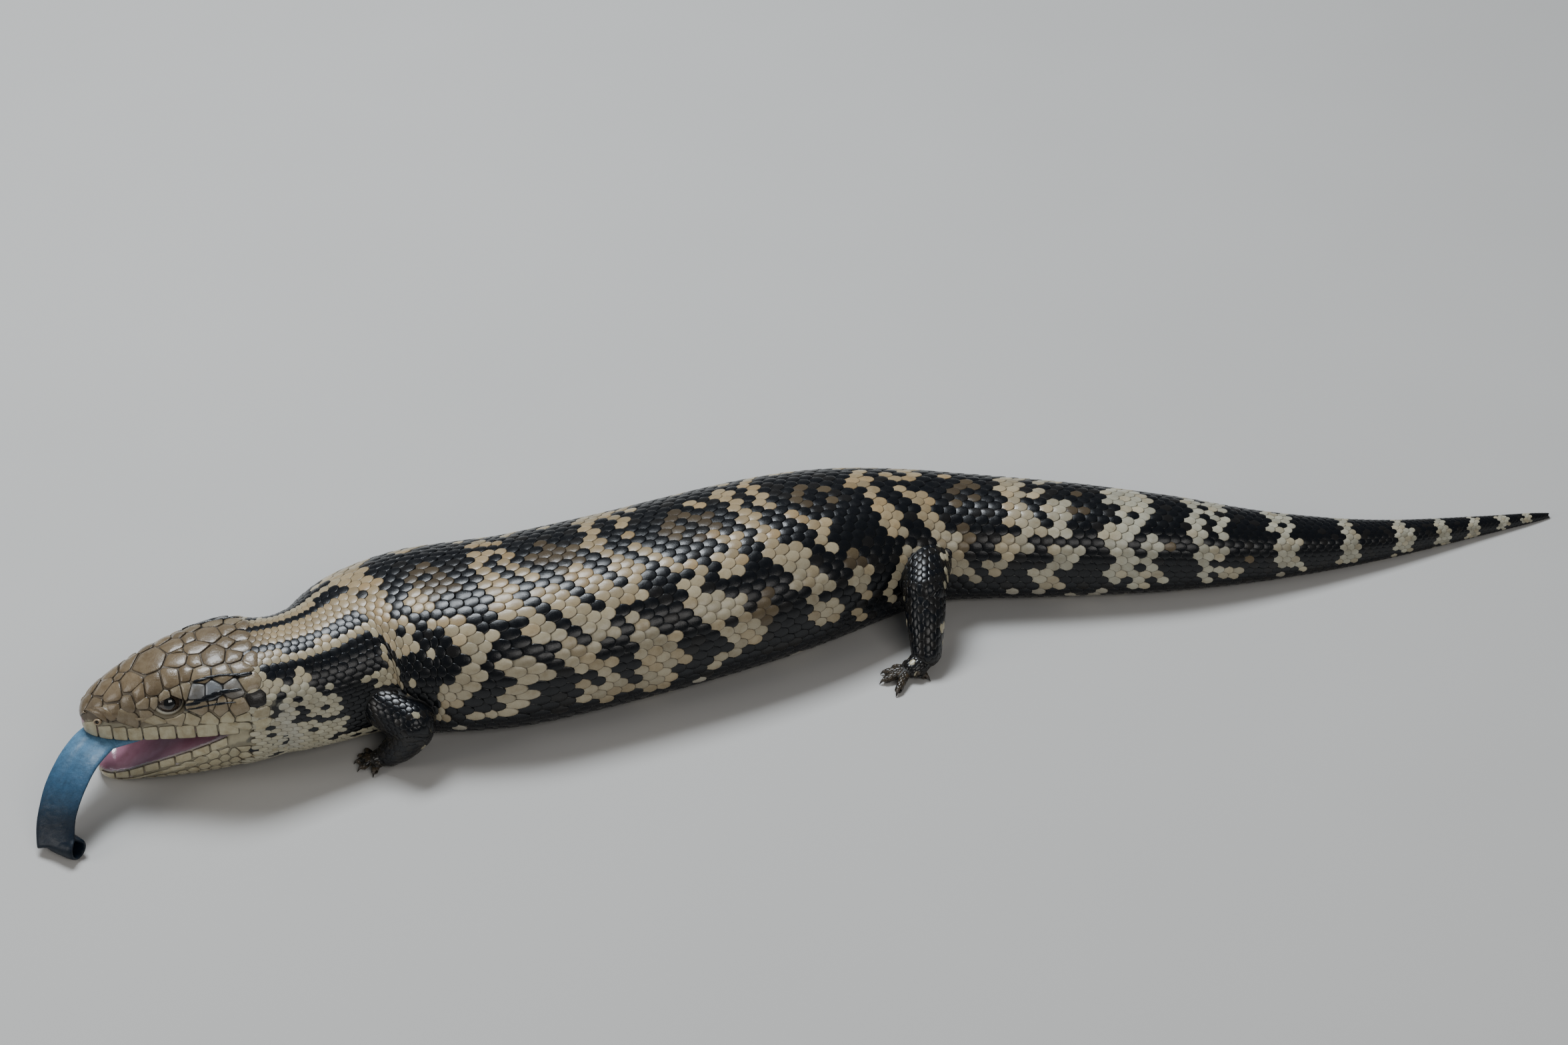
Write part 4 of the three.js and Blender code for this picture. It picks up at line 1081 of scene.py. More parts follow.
def make_claws():
    """All twenty claws as one object."""
    parts, values = [], []
    for limb in LIMBS.values():
        for k in range(5):
            rings, _ = tube(digit_stations(limb, k)[1], 8, 1.0, 16)
            made = closed_loft(rings[:, :-1])
            parts.append(made)
            along = np.repeat(np.linspace(0, 1, len(rings)), rings.shape[1] - 1)
            values.append(np.concatenate([along, [0, 1]]))
    points, faces = gather(parts)
    thing = mesh_object("claws", points, faces)
    values = np.concatenate(values)
    set_point_value(thing.data, "edge", values)
    spots = np.stack([0.5 + 0.4 * hashed(np.arange(len(points)) // 400, 5), 0.01 * values], -1)
    set_root_map(thing.data, spots * [1, 0.3])
    return thing


# The skin under the scales: one mesh over body, head, jaw and limbs

def mouth_row(count):
    angle = math.pi * np.arange(count + 1) / count
    return np.cos(angle), np.sin(angle)


def palate_rows(d):
    """Side and height of the roof of the mouth from left to right."""
    wide, rim = float(size_at(HEAD_SIZES, d, 1)), float(size_at(LIP_HEIGHTS, d, 1))
    inner = max(wide - LIP_WIDTH, wide * 0.45)
    roof = 2.6 * float(smooth(MOUTH_CORNER - d, 0, 9)) * min(1.0, d / 6)
    c, s = mouth_row(40)
    return c * inner, rim + roof * s ** 0.7


def bed_rows(d):
    """Side and height of the floor of the mouth from left to right."""
    wide, under, rim = float(size_at(JAW_SIZES, d, 1)), float(size_at(JAW_SIZES, d, 2)), float(rim_height(d))
    inner = max(wide - LIP_WIDTH, wide * 0.4)
    deep = 3.6 * float(smooth(MOUTH_CORNER - 1 - d, 0, 8)) * float(smooth(d, 3.2, 9))
    hollow = min(deep, 0.5 * (rim - under))
    c, s = mouth_row(40)
    return c * inner, rim - hollow * s ** 0.6


def head_loft():
    rings = []
    for d in np.concatenate([np.linspace(0, 4, 9), np.arange(5, 59.5, 1.0)]):
        over = head_curve(min(d, 58))[1:-1]
        side, height = palate_rows(d)
        roof = spine.point(np.full(len(side), float(d)), side, height)
        rings.append(np.vstack([over, roof]))
    return closed_loft(np.array(rings))


def jaw_loft():
    rings = []
    for d in np.concatenate([np.linspace(JAW_START, 6, 8), np.arange(7, 59.5, 1.0)]):
        below = jaw_curve(min(d, 58))[1:-1]
        side, height = bed_rows(d)
        bed = spine.point(np.full(len(side), float(d)), side, height)
        rings.append(np.vstack([below, bed]))
    return closed_loft(np.array(rings))


def body_loft():
    places = np.concatenate([[56.5], np.arange(58, 120, 1.0), np.arange(120, 400, 2.0),
        np.arange(400, 503.5, 1.0)])
    return closed_loft(np.array([body_curve(p)[:-1] for p in places]))


MOUTH_RED = np.array([0.34, 0.115, 0.18])
MOUTH_PALE = np.array([0.48, 0.25, 0.33])
LIP_PINK = np.array([0.46, 0.39, 0.42])


def mouth_samples():
    """Points over roof and floor of the mouth with their colours."""
    points, tints = [], []
    for d in np.arange(1, 42.5, 0.6):
        side, height = palate_rows(d)
        points.append(spine.point(np.full(len(side), d), side, height))
        # Painted shade: the roof darkens toward its middle, deeper in the mouth.
        far = np.abs(side) / max(side.max(), 1e-6)
        tints.append(mix(MOUTH_RED, MOUTH_PALE, (0.3 + 0.4 * far)[:, None]))
        if d < JAW_START + 0.2:
            continue
        side, height = bed_rows(d)
        points.append(spine.point(np.full(len(side), d), side, height))
        far = np.abs(side) / max(side.max(), 1e-6)
        base = mix(MOUTH_RED, MOUTH_PALE,
            (0.25 + 0.75 * noise2(side / 2.2, np.full(len(side), d / 5), 4))[:, None])
        base = mix(base, LIP_PINK, smooth(far, 0.9, 0.97)[:, None])
        tints.append(base)
    return np.vstack(points), np.vstack(tints)


def rim_samples():
    """Points along the lips, and in the ear slits painted near black as shade, with their colours."""
    points, tints = [], []
    for d in np.arange(0, 50, 0.5):
        lip = head.at(np.full(2, d), np.array([-1, 1.0]))
        chin = jaw.at(np.full(2, max(d, JAW_START)), np.array([-1, 1.0]))
        inward = 0.45 * unit(spine.at(np.array([d, d])) - lip[0][:, :2])
        for spots in (lip[0], chin[0], lip[0] + np.hstack([inward, [[0.1], [0.1]]])):
            points.append(spots)
            tints.append(np.repeat(LIP_CREAM[None] * 0.9, 2, 0))
    # The ear slits are painted near black as shade in the openings.
    for turn in np.concatenate([np.linspace(0.4, 0.62, 23), -np.linspace(0.4, 0.62, 23)]):
        if abs(float(ear_drop(np.array([turn]), EAR_ALONG)[0])) < 2.6:
            points.append(body.at(np.full(3, EAR_ALONG) + [-0.4, 0, 0.4], np.full(3, turn))[0])
            tints.append(np.full((3, 3), 0.012))
    return np.vstack(points), np.vstack(tints)


def eye_frame(side):
    """Centre of an eye, its forward, upward and outward directions."""
    def local(d, across, height):
        return spine.point(np.array(float(d)), np.array(side * float(across)), np.array(float(height)))
    centre = local(EYE_ALONG, EYE_SIDE, EYE_HEIGHT)
    out = unit(local(EYE_ALONG + 0.15, EYE_SIDE + 2.9, EYE_HEIGHT + 1.65) - centre)
    forward = unit(local(EYE_ALONG - 1, EYE_SIDE, EYE_HEIGHT) - centre)
    forward = unit(forward - out * np.dot(forward, out))
    up = np.cross(forward, out)
    up = up if up[2] > 0 else -up
    return centre, forward, up, out


LID_LONG, LID_HIGH = 3.85, 2.95


def make_skin(coats):
    """One closed mesh from lofts of body, head, jaw and limbs, coloured from the scales on it."""
    parts = [body_loft(), head_loft(), jaw_loft()]
    parts += [closed_loft(rings[:, :-1]) for _, _, (rings, _) in LENGTHS]
    points, faces = gather(parts)
    thing = mesh_object("skin", points, faces)
    bpy.context.view_layer.objects.active = thing
    remesh = thing.modifiers.new("one_shell", "REMESH")
    remesh.mode = "VOXEL"
    remesh.voxel_size = 0.0008
    remesh.use_smooth_shade = True
    soften = thing.modifiers.new("soften", "SMOOTH")
    soften.factor, soften.iterations = 0.5, 4
    made = bpy.data.meshes.new_from_object(thing.evaluated_get(bpy.context.evaluated_depsgraph_get()))
    thing.modifiers.clear()
    thing.data = made
    spots = np.empty(len(made.vertices) * 3)
    made.vertices.foreach_get("co", spots)
    spots = spots.reshape(-1, 3) * 1000 + MIDDLE
    for way in (1, -1):
        centre, forward, up, out = eye_frame(way)
        away = spots - centre
        x, y, w = away @ forward, away @ up, away @ out
        share = np.hypot(x / LID_LONG, y / LID_HIGH)
        near = (w > -1) & (share < 1.5)
        ball = np.sqrt(np.maximum(EYE_RADIUS ** 2 - x ** 2 - y ** 2, 0))
        goal = mix(ball - 1.6, w, smooth(share, 0.95, 1.45))
        w_new = np.where(near, np.minimum(w, goal), w)
        spots += (w_new - w)[:, None] * out
    spots[:, 2] = np.maximum(spots[:, 2], 0.0)
    made.vertices.foreach_set("co", ((spots - MIDDLE) * 0.001).reshape(-1))

    # Colour from the nearest scale, or from the mouth's lining where that is nearer.
    tree_points = [np.vstack(c.centres) for c in coats]
    tree_tints = [np.vstack(c.centre_tints) * (0.6 if k < 2 else 0.3) for k, c in enumerate(coats)]
    tree_roots = [np.vstack(c.roots) for c in coats]
    lining, lining_tints = mouth_samples()
    rims, rim_tints = rim_samples()
    wet = np.concatenate([np.zeros(sum(len(p) for p in tree_points)), np.ones(len(lining)),
        np.zeros(len(rims))])
    lining, lining_tints = np.vstack([lining, rims]), np.vstack([lining_tints, rim_tints])
    lining_roots = np.stack([0.02 + 0.4 * (np.arange(len(lining)) % 41) / 41,
        0.365 + 0.02 * np.arange(len(lining)) / len(lining)], -1)
    tree = fast_tree(np.vstack(tree_points + [lining]))
    index = tree(spots)
    set_point_colour(made, "tint", np.vstack(tree_tints + [lining_tints])[index])
    set_point_value(made, "wet", wet[index])
    roots = np.vstack(tree_roots + [lining_roots])[index]
    set_root_map(made, roots)
    corner = np.empty(len(made.loops), int)
    made.loops.foreach_get("vertex_index", corner)
    first = np.empty(len(made.polygons), int)
    made.polygons.foreach_get("loop_start", first)
    count = np.diff(np.append(first, len(corner)))
    face = np.repeat(np.arange(len(first)), count)
    spot = roots[corner]
    spread = np.zeros(len(first))
    np.maximum.at(spread, face, np.abs(spot - spot[first][face]).max(axis=1))
    spot = np.where((spread > 0.02)[face][:, None],
        spot[first][face] + 0.0006 * (hashed(corner, 2)[:, None] - [0.5, 0.5]), spot)
    made.uv_layers["OFBake"].data.foreach_set("uv", spot.reshape(-1))
    made.update()
    return thing


def fast_tree(points):
    """Nearest point of a cloud for each of many points."""
    from mathutils.kdtree import KDTree
    tree = KDTree(len(points))
    for i, p in enumerate(points):
        tree.insert(p, i)
    tree.balance()

    def nearest(others):
        return np.array([tree.find(p)[1] for p in others])
    return nearest


# Eyes and lids

def make_eye(name, way):
    centre, forward, up, out = eye_frame(way)
    rings, around = 40, 64
    polar = math.pi * (np.arange(1, rings) / rings) ** 1.4
    turn = 2 * math.pi * np.arange(around) / around
    p, t = np.meshgrid(polar, turn, indexing="ij")
    bulge = 1 + 0.05 * np.exp(-(p / 0.45) ** 4)
    points = (centre + EYE_RADIUS * bulge[..., None] * (np.cos(p)[..., None] * out + np.sin(p)[..., None] * (
        np.cos(t)[..., None] * forward + np.sin(t)[..., None] * up)))
    quads, fans = loft_faces(rings - 1, around)
    ends = [centre + EYE_RADIUS * 1.05 * out, centre - EYE_RADIUS * out]
    points = np.vstack([points.reshape(-1, 3), ends])
    thing = mesh_object(name, points, face_out(points, [quads, fans], centre))
    polar_all = np.concatenate([p.reshape(-1), [0, math.pi]])
    turn_all = np.concatenate([t.reshape(-1), [0, 0]])
    set_point_value(thing.data, "from_pupil", polar_all / math.pi)
    set_point_value(thing.data, "round_iris", turn_all / (2 * math.pi))
    set_point_value(thing.data, "upward", (points - centre) @ up / EYE_RADIUS)
    set_root_map(thing.data, np.stack([0.5 + 0.1 * way + 0.06 * np.sin(polar_all / 2) * np.cos(turn_all),
                                       0.5 + 0.06 * np.sin(polar_all / 2) * np.sin(turn_all)], -1))
    return thing


def face_out(points, faces, centre):
    """Turns faces round if most of them look toward the centre."""
    f = faces[0]
    normal = np.cross(points[f[:, 1]] - points[f[:, 0]], points[f[:, 2]] - points[f[:, 0]])
    looks = np.einsum("ij,ij->i", normal, points[f].mean(axis=1) - centre)
    return faces if looks.sum() > 0 else [g[:, ::-1] for g in faces]


def make_lids():
    """A thick rounded rim round each eye."""
    parts, tints = [], []
    for way in (1, -1):
        centre, forward, up, out = eye_frame(way)
        around = 72
        turn = 2 * math.pi * np.arange(around) / around
        # share of the opening, height over the eyeball
        profile = [(1.5, -1.2), (1.42, 0.1), (1.3, 0.42), (1.18, 0.6), (1.08, 0.66), (1.0, 0.58),
                   (0.955, 0.36), (0.95, 0.1), (0.96, -0.3), (1.2, -1.2)]
        rings = []
        for share, lift in profile:
            x = share * (3.75 * np.cos(turn) + 0.2 * np.sign(np.cos(turn)) * np.abs(np.cos(turn)) ** 6)
            y = share * 2.6 * np.sin(turn) * np.where(np.sin(turn) > 0, 1.0, 1.04)
            ball = np.sqrt(np.maximum((EYE_RADIUS + lift) ** 2 - x ** 2 - y ** 2, 0.3))
            rings.append(centre + x[:, None] * forward + y[:, None] * up + ball[:, None] * out)
        rings = np.array(rings)
        k = np.arange(around)
        count = len(profile)
        i, kk = np.meshgrid(np.arange(count), k, indexing="ij")
        a, b = i * around + kk, i * around + (kk + 1) % around
        c, d = ((i + 1) % count) * around + (kk + 1) % around, ((i + 1) % count) * around + kk
        quads = np.stack([a, b, c, d], -1).reshape(-1, 4)
        points = rings.reshape(-1, 3)
        look = face_out(points, [quads], centre)[0]
        parts.append((points, look, np.zeros((0, 3), int)))
        shares = np.repeat([s for s, _ in profile], around)
        low = np.tile(np.sin(turn), count)
        tint = mix(np.array([0.3, 0.24, 0.17]), np.array([0.5, 0.47, 0.38]), smooth(-low, -0.2, 0.7)[:, None])
        rim = smooth(shares, 1.06, 0.98)[:, None]
        tint = mix(tint, np.array([0.045, 0.04, 0.04]), rim * 0.9)
        tints.append(tint)
    points, faces = gather(parts)
    thing = mesh_object("eyelids", points, [faces[0]])
    set_point_colour(thing.data, "tint", np.vstack(tints))
    set_point_value(thing.data, "edge", np.full(len(points), 0.4))
    set_small_map(thing.data, [0.1, 0.2], 0.002, 1)
    return thing


# Tongue

TONGUE_ROOT = [(36, 0, 19.4), (30.5, 0.2, 18.9), (24, 0.8, 18.5), (17, 2.2, 18.8), (10.5, 4, 19.3)]
TONGUE_OUT = [(-209.9, -131.8, 19.2), (-214.4, -140.4, 18), (-217.8, -149, 14.2), (-219.6, -157.2, 8.8)]
ROLL_MIDDLE, ROLL_TURN = np.array([-217.2, -161.4, 3.95]), math.radians(-32)


def tongue_line():
    """Middle line of the tongue from its root to the inside of the roll."""
    forward = np.array([math.sin(ROLL_TURN), -math.cos(ROLL_TURN), 0])
    share = np.linspace(0, 1, 90)
    angle = math.radians(300) * share
    radius = mix(3.4, 2.05, share)
    upward = np.array([0, 0, 1.0])
    roll = ROLL_MIDDLE + radius[:, None] * (np.cos(angle)[:, None] * forward
                                            - np.sin(angle)[:, None] * upward)
    lead = [spine.point(*(np.array(float(value)) for value in spot)) for spot in TONGUE_ROOT]
    lead = curve_through([*lead, *TONGUE_OUT, tuple(roll[0]), tuple(roll[8])], 20)[:-21]
    return np.vstack([lead, roll[1:]]), len(lead)


def make_tongue():
    centres, lead = tongue_line()
    length = np.concatenate([[0], np.cumsum(np.linalg.norm(np.diff(centres, axis=0), axis=1))])
    even = np.linspace(0, length[-1], 420)
    centres = np.stack([np.interp(even, length, centres[:, k]) for k in range(3)], -1)
    for _ in range(12):
        centres[1:-1] = 0.5 * centres[1:-1] + 0.25 * (centres[:-2] + centres[2:])
    out_share = even / length[-1]
    along = unit(np.gradient(centres, axis=0))
    turned = smooth(out_share, 0.28, 0.6)
    yaw = mix(HEAD_TURN - math.pi / 2, ROLL_TURN, turned)
    across = np.stack([np.cos(yaw), np.sin(yaw), 0 * yaw], -1)
    across = unit(across - along * np.sum(across * along, -1)[:, None])
    normal = unit(np.cross(across, along))
    ends = np.sqrt(1 - 0.8 * smooth(out_share, 0.95, 1)) * np.sqrt(1 - 0.7 * (1 - smooth(out_share, 0, 0.05)))
    width = ends * mix(mix(7, 7.5, np.minimum(1, out_share / 0.3)), 6.2, np.maximum(0, out_share - 0.3) / 0.7)
    thick = mix(1.35, 0.85, smooth(out_share, 0.3, 0.75))
    around = 96
    angle = 2 * math.pi * np.arange(around) / around
    cu, su = rounded(angle, 2 / 0.72)
    grooved = smooth(out_share, 0.2, 0.4) * smooth(out_share, 0.78, 0.6)
    groove = np.exp(-((cu + 0.16) / 0.2) ** 2) * 0.2 * grooved[:, None]
    ripple = 0.09 * (noise2(out_share[:, None] * 75, cu[None] * 5 + 9 * (su > 0), 5) - 0.5)
    ripple = ripple + 0.05 * (noise2(out_share[:, None] * 210, cu[None] * 16 + 9 * (su > 0), 6) - 0.5)
    up = su[None] * thick[:, None] * (1 + 0.12 * (1 - cu[None] ** 2))
    up = up - groove * np.abs(su[None]) * np.sign(su[None]) + ripple * np.abs(su)
    roll_from = float(length[lead - 1] / length[-1])
    outer_kept = 1 - 0.25 * smooth(out_share, roll_from - 0.02, roll_from + 0.5 * (1 - roll_from))
    kept = np.where(cu[None] < 0, outer_kept[:, None], 1.0)
    uneven = 1 + 0.02 * (noise2(out_share[:, None] * 22, np.sign(cu)[None] * 3, 8) - 0.5)
    wide = cu[None] * width[:, None] * kept * uneven
    rings = centres[:, None] + wide[..., None] * across[:, None] + up[..., None] * normal[:, None]
    rings[..., 2] = np.maximum(rings[..., 2], 0)
    points, quads, fans = closed_loft(rings)
    thing = mesh_object("tongue_ribbon", points, face_out(points, [quads, fans], points.mean(0)))
    flat = np.concatenate([np.repeat(out_share, around), [0, 1]])
    side = np.concatenate([np.tile(cu, len(centres)), [0, 0]])
    upper = np.concatenate([np.tile(su, len(centres)), [0, 0]])
    deep, mid, pale = np.array([(0.005, 0.011, 0.02), (0.032, 0.085, 0.15), (0.1, 0.215, 0.335)])
    tint = mix(pale, mid, smooth(flat, 0.36, 0.62)[:, None])
    tint = mix(tint, deep, smooth(flat, 0.56, 0.76)[:, None])
    mottle = noise2(flat * 90, side * 7 + 20 * (upper > 0), 15)
    fine = noise2(flat * 300, side * 22 + 20 * (upper > 0), 16)
    tint = tint * (0.74 + 0.3 * mottle + 0.22 * fine)[:, None]
    tint = mix(tint, MOUTH_PALE * 0.8, (smooth(flat, 0.2, 0.06))[:, None] * 0.6)
    set_point_colour(thing.data, "tint", tint)
    set_point_value(thing.data, "edge", np.abs(side))
    set_root_map(thing.data,
        np.stack([0.02 + 0.42 * flat, 0.385 + 0.006 * (1 + side) * np.where(upper > 0, 1, 0.5)], -1))
    return thing


def make_nostrils():
    """A small raised ring round a pit on each side of the snout, the pit painted dark as shade."""
    parts, tints = [], []
    for way in (1, -1):
        place, turn = np.array([4.9]), np.array([way * 0.62])
        spot, normal = head.at(place, turn)
        ahead, _ = head.at(place + 0.8, turn)
        forward = unit(ahead[0] - spot[0])
        up = unit(np.cross(forward, normal[0]))
        around = 28
        angle = 2 * math.pi * np.arange(around) / around
        profile = [(1.25, -0.3), (1.2, 0.2), (1.0, 0.42), (0.78, 0.46), (0.6, 0.36), (0.5, 0.1), (0.3, -0.1)]
        rings = [spot[0] + (r * 1.15 * np.cos(angle))[:, None] * forward
                 + (r * 0.85 * np.sin(angle))[:, None] * up
                 + (h + 0.35) * normal[0] for r, h in profile]
        points, quads, fans = closed_loft(np.array(rings))
        look = face_out(points, [quads, fans], spot[0] - normal[0])
        parts.append((points, look[0], look[1]))
        # Painted shade: the rings darken toward the bottom of the pit.
        shade = np.array([1, 1, 1, 0.9, 0.4, 0.06, 0.02])
        shade = np.concatenate([np.repeat(shade, around), [1, 0.02]])
        tints.append(shade[:, None] * np.array([0.33, 0.25, 0.16]))
    points, faces = gather(parts)
    thing = mesh_object("nostril_rings", points, faces)
    set_point_colour(thing.data, "tint", np.vstack(tints))
    set_point_value(thing.data, "edge", np.full(len(points), 0.3))
    set_small_map(thing.data, [0.035, 0.19], 0.001, 2)
    return thing


# Materials

class Value:
    """A socket of a material, with sums written as in arithmetic."""

    def __init__(self, paint, socket):
        self.paint, self.socket = paint, socket

    def math(self, kind, *others):
        return self.paint.node("ShaderNodeMath", {"operation": kind},
            {i: o for i, o in enumerate((self, *others))})

    def __add__(self, other):
        return self.math("ADD", other)

    def __sub__(self, other):
        return self.math("SUBTRACT", other)

    def __mul__(self, other):
        return self.math("MULTIPLY", other)

    __radd__, __rmul__ = __add__, __mul__

    def __rsub__(self, other):
        return self.paint.node("ShaderNodeMath", {"operation": "SUBTRACT"}, {0: other, 1: self})

    def span(self, low, high, to_low=0.0, to_high=1.0):
        return self.paint.node("ShaderNodeMapRange", {"interpolation_type": "SMOOTHSTEP"}, {
            "Value": self, "From Min": low, "From Max": high, "To Min": to_low, "To Max": to_high}, "Result")


class Paint:
    """One material built from nodes."""

    def __init__(self, name):
        self.material = bpy.data.materials.new(name)
        self.material.use_nodes = True
        self.tree = self.material.node_tree
        self.shader = self.tree.nodes["Principled BSDF"]

    def node(self, kind, settings=None, values=None, output=0):
        made = self.tree.nodes.new(kind)
        for key, setting in (settings or {}).items():
            setattr(made, key, setting)
        self.fill(made, values or {})
        return Value(self, made.outputs[output])

    def fill(self, made, values):
        for key, value in values.items():
            if isinstance(value, Value):
                self.tree.links.new(value.socket, made.inputs[key])
            else:
                made.inputs[key].default_value = value

    def set(self, **values):
        self.fill(self.shader, {key.replace("_", " "): value for key, value in values.items()})

    def kept(self, name, output="Fac"):
        return self.node("ShaderNodeAttribute", {"attribute_name": name}, {}, output)

    def place(self):
        return self.node("ShaderNodeTexCoord", {}, {}, "Object")

    def noise(self, scale, detail=3.0, rough=0.55, where=None):
        return self.node("ShaderNodeTexNoise", {}, {
            "Vector": where or self.place(), "Scale": scale, "Detail": detail, "Roughness": rough}, "Fac")

    def blend(self, share, first, second, kind="MIX"):
        return self.node("ShaderNodeMix", {"data_type": "RGBA", "blend_type": kind, "clamp_factor": True}, {
            0: share, 6: first, 7: second}, 2)

    def bump(self, height, strength, distance):
        return self.node("ShaderNodeBump", {},
            {"Strength": strength, "Distance": distance, "Height": height}, "Normal")


def scale_paint(name, rough=0.27, grain=0.5, seam=0.5, gloss=0.08, wrinkle=0.22):
    """Glossy scales: their own tint, a darker seam round the edge and fine growth lines."""
    paint = Paint(name)
    edge, fine, broad = paint.kept("edge"), paint.noise(2600), paint.noise(420, 4.0)
    tint = paint.kept("tint", "Color")
    streak = paint.node("ShaderNodeVectorMath", {"operation": "MULTIPLY"},
        {0: paint.place(), 1: (700.0, 5200.0, 5200.0)})
    lines = paint.noise(1.0, 2.0, 0.5, streak)
    worn = paint.blend(broad.span(0.35, 0.75, 0.0, grain), tint, (0.62, 0.54, 0.42, 1), "MULTIPLY")
    bright = paint.blend(fine.span(0.45, 0.8, 0.0, 0.18), worn, (1, 1, 1, 1), "SOFT_LIGHT")
    seamed = paint.blend(edge.span(0.86, 0.98, 0.0, seam), bright, (0.12, 0.1, 0.085, 1), "MULTIPLY")
    height = fine * 0.4 + lines * 0.5 + broad * (2.7 * wrinkle)
    paint.set(Base_Color=seamed, Roughness=broad.span(0.3, 0.75, rough * 0.8, rough * 1.35),
              Normal=paint.bump(height, wrinkle, 0.00025))
    paint.set(Coat_Weight=gloss, Coat_Roughness=0.12, IOR=1.38)
    return paint.material


def skin_paint():
    """The thin skin between scales, matt, and wet where it lines the mouth."""
    paint = Paint("skin_between")
    wet, fine, broad = paint.kept("wet"), paint.noise(1800), paint.noise(300)
    tint = paint.kept("tint", "Color")
    mottled = paint.blend(broad.span(0.3, 0.75, 0.0, 0.35), tint, (0.5, 0.42, 0.38, 1), "MULTIPLY")
    paint.set(Base_Color=mottled, Roughness=wet.span(0.4, 0.6, 0.55, 0.22), Coat_Weight=wet * 0.5,
              Normal=paint.bump(fine * 0.5 + broad, 0.3, 0.0003))
    paint.set(Coat_Roughness=0.1)
    return paint.material


def eye_paint():
    """A dark iris with a lighter ring round a black pupil, under a clear front; the ring's brightening toward
    the bottom is painted light.
    """
    paint = Paint("eye_glass")
    polar, turn, upward = paint.kept("from_pupil"), paint.kept("round_iris"), paint.kept("upward")
    rays = paint.node("ShaderNodeTexNoise", {"noise_dimensions": "2D"}, {
        "Vector": paint.node("ShaderNodeCombineXYZ", {}, {"X": turn * 60, "Y": polar * 7}),
        "Scale": 1.0, "Detail": 2.0}, "Fac")
    iris = paint.blend(rays.span(0.3, 0.7), (0.028, 0.02, 0.016, 1), (0.085, 0.062, 0.045, 1))
    # Painted light: the ring round the pupil is brightened toward the bottom of the eye, where light through
    # the clear front falls.
    ring_with_painted_light = polar.span(0.225, 0.245) * (1 - polar.span(0.262, 0.29)) * upward.span(0.35, -0.35, 0.1, 0.85)
    ring = paint.blend(ring_with_painted_light, iris, (0.27, 0.25, 0.22, 1))
    pupil = paint.blend(polar.span(0.118, 0.132), (0.002, 0.002, 0.002, 1), ring)
    rim = paint.blend(polar.span(0.275, 0.3), pupil, (0.03, 0.026, 0.024, 1))
    paint.set(Base_Color=rim, Roughness=polar.span(0.28, 0.4, 0.05, 0.3))
    paint.set(Coat_Weight=1.0, Coat_Roughness=0.015, IOR=1.4)
    return paint.material


def tongue_paint():
    """Smooth moist blue flesh with a fine mottle."""
    paint = Paint("tongue_blue")
    fine, broad = paint.noise(2200, 4.0), paint.noise(350)
    tint = paint.kept("tint", "Color")
    dabs = paint.blend(fine.span(0.4, 0.75, 0.0, 0.4), tint, (0.4, 0.46, 0.5, 1), "MULTIPLY")
    paint.set(Base_Color=dabs, Roughness=broad.span(0.3, 0.7, 0.34, 0.5),
        Normal=paint.bump(fine + broad * 0.6, 0.22, 0.0003))
    paint.set(Coat_Weight=0.04, Coat_Roughness=0.2, IOR=1.3)
    return paint.material


def horn_paint():
    """Claws, brown at the root and darker to the point."""
    paint = Paint("claw_horn")
    along, fine = paint.kept("edge"), paint.noise(1500)
    colour = paint.blend(along.span(0.1, 0.8), (0.11, 0.085, 0.06, 1), (0.02, 0.016, 0.014, 1))
    streaked = paint.blend(fine.span(0.3, 0.7, 0.0, 0.4), colour, (0.5, 0.45, 0.4, 1), "MULTIPLY")
    paint.set(Base_Color=streaked, Roughness=fine.span(0.3, 0.7, 0.25, 0.4))
    return paint.material


def floor_paint():
    paint = Paint("pale_floor")
    speck = paint.noise(9.0, 2.0)
    paint.set(Base_Color=paint.blend(speck, (0.5, 0.49, 0.47, 1), (0.54, 0.53, 0.51, 1)),
        Roughness=speck.span(0.2, 0.8, 0.8, 0.9))
    return paint.material


# Putting it together

def finish_piece(thing, material, nodes=()):
    thing.data.materials.clear()
    thing.data.materials.append(material)
    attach(thing, "root")
    if nodes:
        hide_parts(*nodes)
    return thing


TRUNK_NODES = ["neck", "trunk_front", "trunk_middle", "trunk_rear", "tail_base", "tail_middle", "tail_rear",
    "tail_tip"]
LIMB_NODES = [f"{part}_{side}" for side in ("left", "right")
    for part in ("upper_arm", "forearm", "hand", "thigh", "shank", "foot")]

head_coat, jaw_coat = head_shields(), jaw_plates()
trunk_coats, leg_coats = body_coats(), limb_coats()
all_coats = [head_coat, jaw_coat, *trunk_coats.values(), *leg_coats.values()]

scales = scale_paint("body_scales", seam=0.75)
shields = scale_paint("head_shields", rough=0.25, grain=0.75, seam=0.85, gloss=0.25, wrinkle=0.5)
leg_scales = scale_paint("leg_scales", rough=0.26, gloss=0.1)

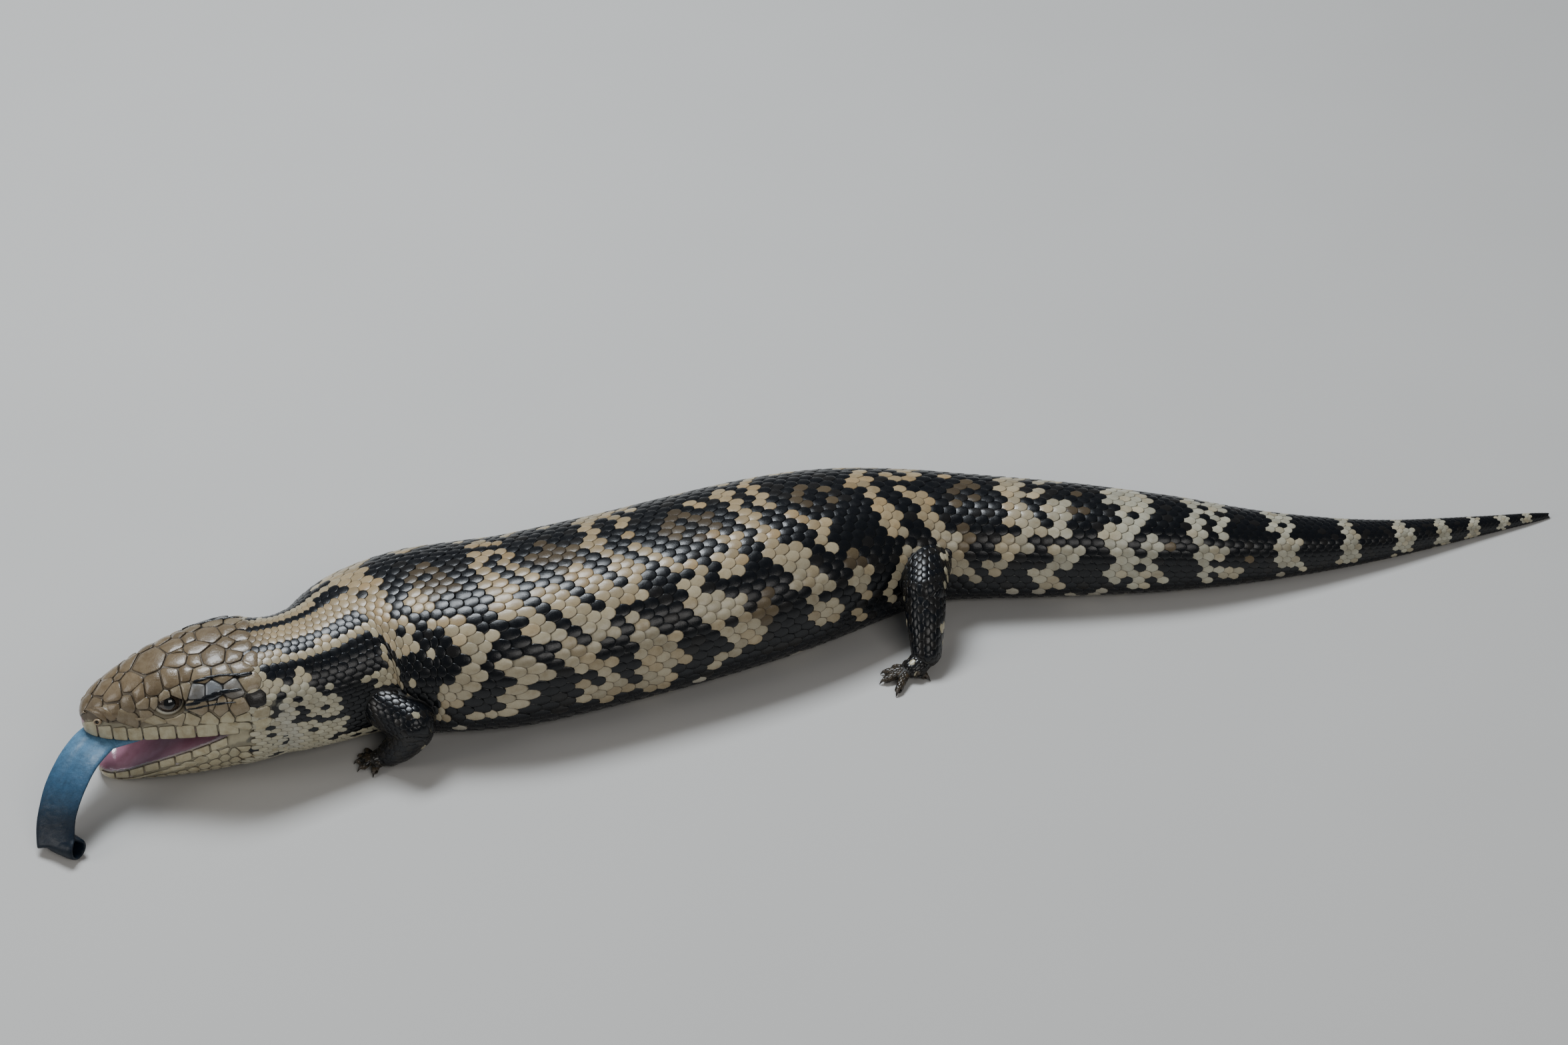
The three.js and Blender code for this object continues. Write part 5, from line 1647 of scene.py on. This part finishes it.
skin = make_skin(all_coats)
finish_piece(skin, skin_paint(), ["head", "lower_jaw", *TRUNK_NODES, *LIMB_NODES])
finish_piece(head_coat.build("coat_head"), shields)
finish_piece(jaw_coat.build("coat_jaw"), shields)
for name, coat in trunk_coats.items():
    finish_piece(coat.build(name), scales)
for name, coat in leg_coats.items():
    finish_piece(coat.build(name), leg_scales)
finish_piece(make_claws(), horn_paint())
finish_piece(make_eye("eyeball_left", 1), eye_paint(), ["eye_left"])
finish_piece(make_eye("eyeball_right", -1), bpy.data.materials["eye_glass"], ["eye_right"])
finish_piece(make_lids(), shields)
finish_piece(make_nostrils(), shields)
finish_piece(make_tongue(), tongue_paint(), ["tongue"])

# Floor, light and camera

corners = np.array([[-9000, -9000, -0.05], [9000, -9000, -0.05], [9000, 9000, -0.05], [-9000, 9000, -0.05]])
floor = mesh_object("floor", corners + MIDDLE, np.array([[0, 1, 2, 3]]), smooth_faces=False)
floor.data.materials.append(floor_paint())

world = bpy.data.worlds.new("room")
world.use_nodes = True
world.node_tree.nodes["Background"].inputs["Color"].default_value = (0.78, 0.82, 0.88, 1)
world.node_tree.nodes["Background"].inputs["Strength"].default_value = 0.16
bpy.context.scene.world = world


def lamp(name, at, size, power, colour=(1, 1, 1)):
    light = bpy.data.lights.new(name, "AREA")
    light.shape = "RECTANGLE"
    light.size, light.size_y = size
    light.energy = power
    light.color = colour
    thing = bpy.data.objects.new(name, light)
    thing.location = at
    thing.rotation_euler = (-Vector(at)).to_track_quat("-Z", "Y").to_euler()
    bpy.context.scene.collection.objects.link(thing)


lamp("window", (-0.35, 0.5, 1.2), (0.6, 0.4), 21, (0.88, 0.94, 1))
lamp("fill", (0.5, -1.1, 1.0), (0.9, 0.6), 6, (1, 0.97, 0.93))
lamp("side", (-1.2, -0.45, 0.55), (0.5, 0.5), 4, (1, 0.97, 0.93))

camera = bpy.data.objects.new("camera", bpy.data.cameras.new("camera"))
bpy.context.scene.collection.objects.link(camera)
camera.location = (-0.01853, -0.77836, 0.6637)
camera.rotation_euler = (math.radians(52), 0, 0)
camera.data.sensor_width = 36
camera.data.lens = 18 / math.tan(math.radians(14))
camera.data.clip_start, camera.data.clip_end = 0.05, 50
bpy.context.scene.camera = camera
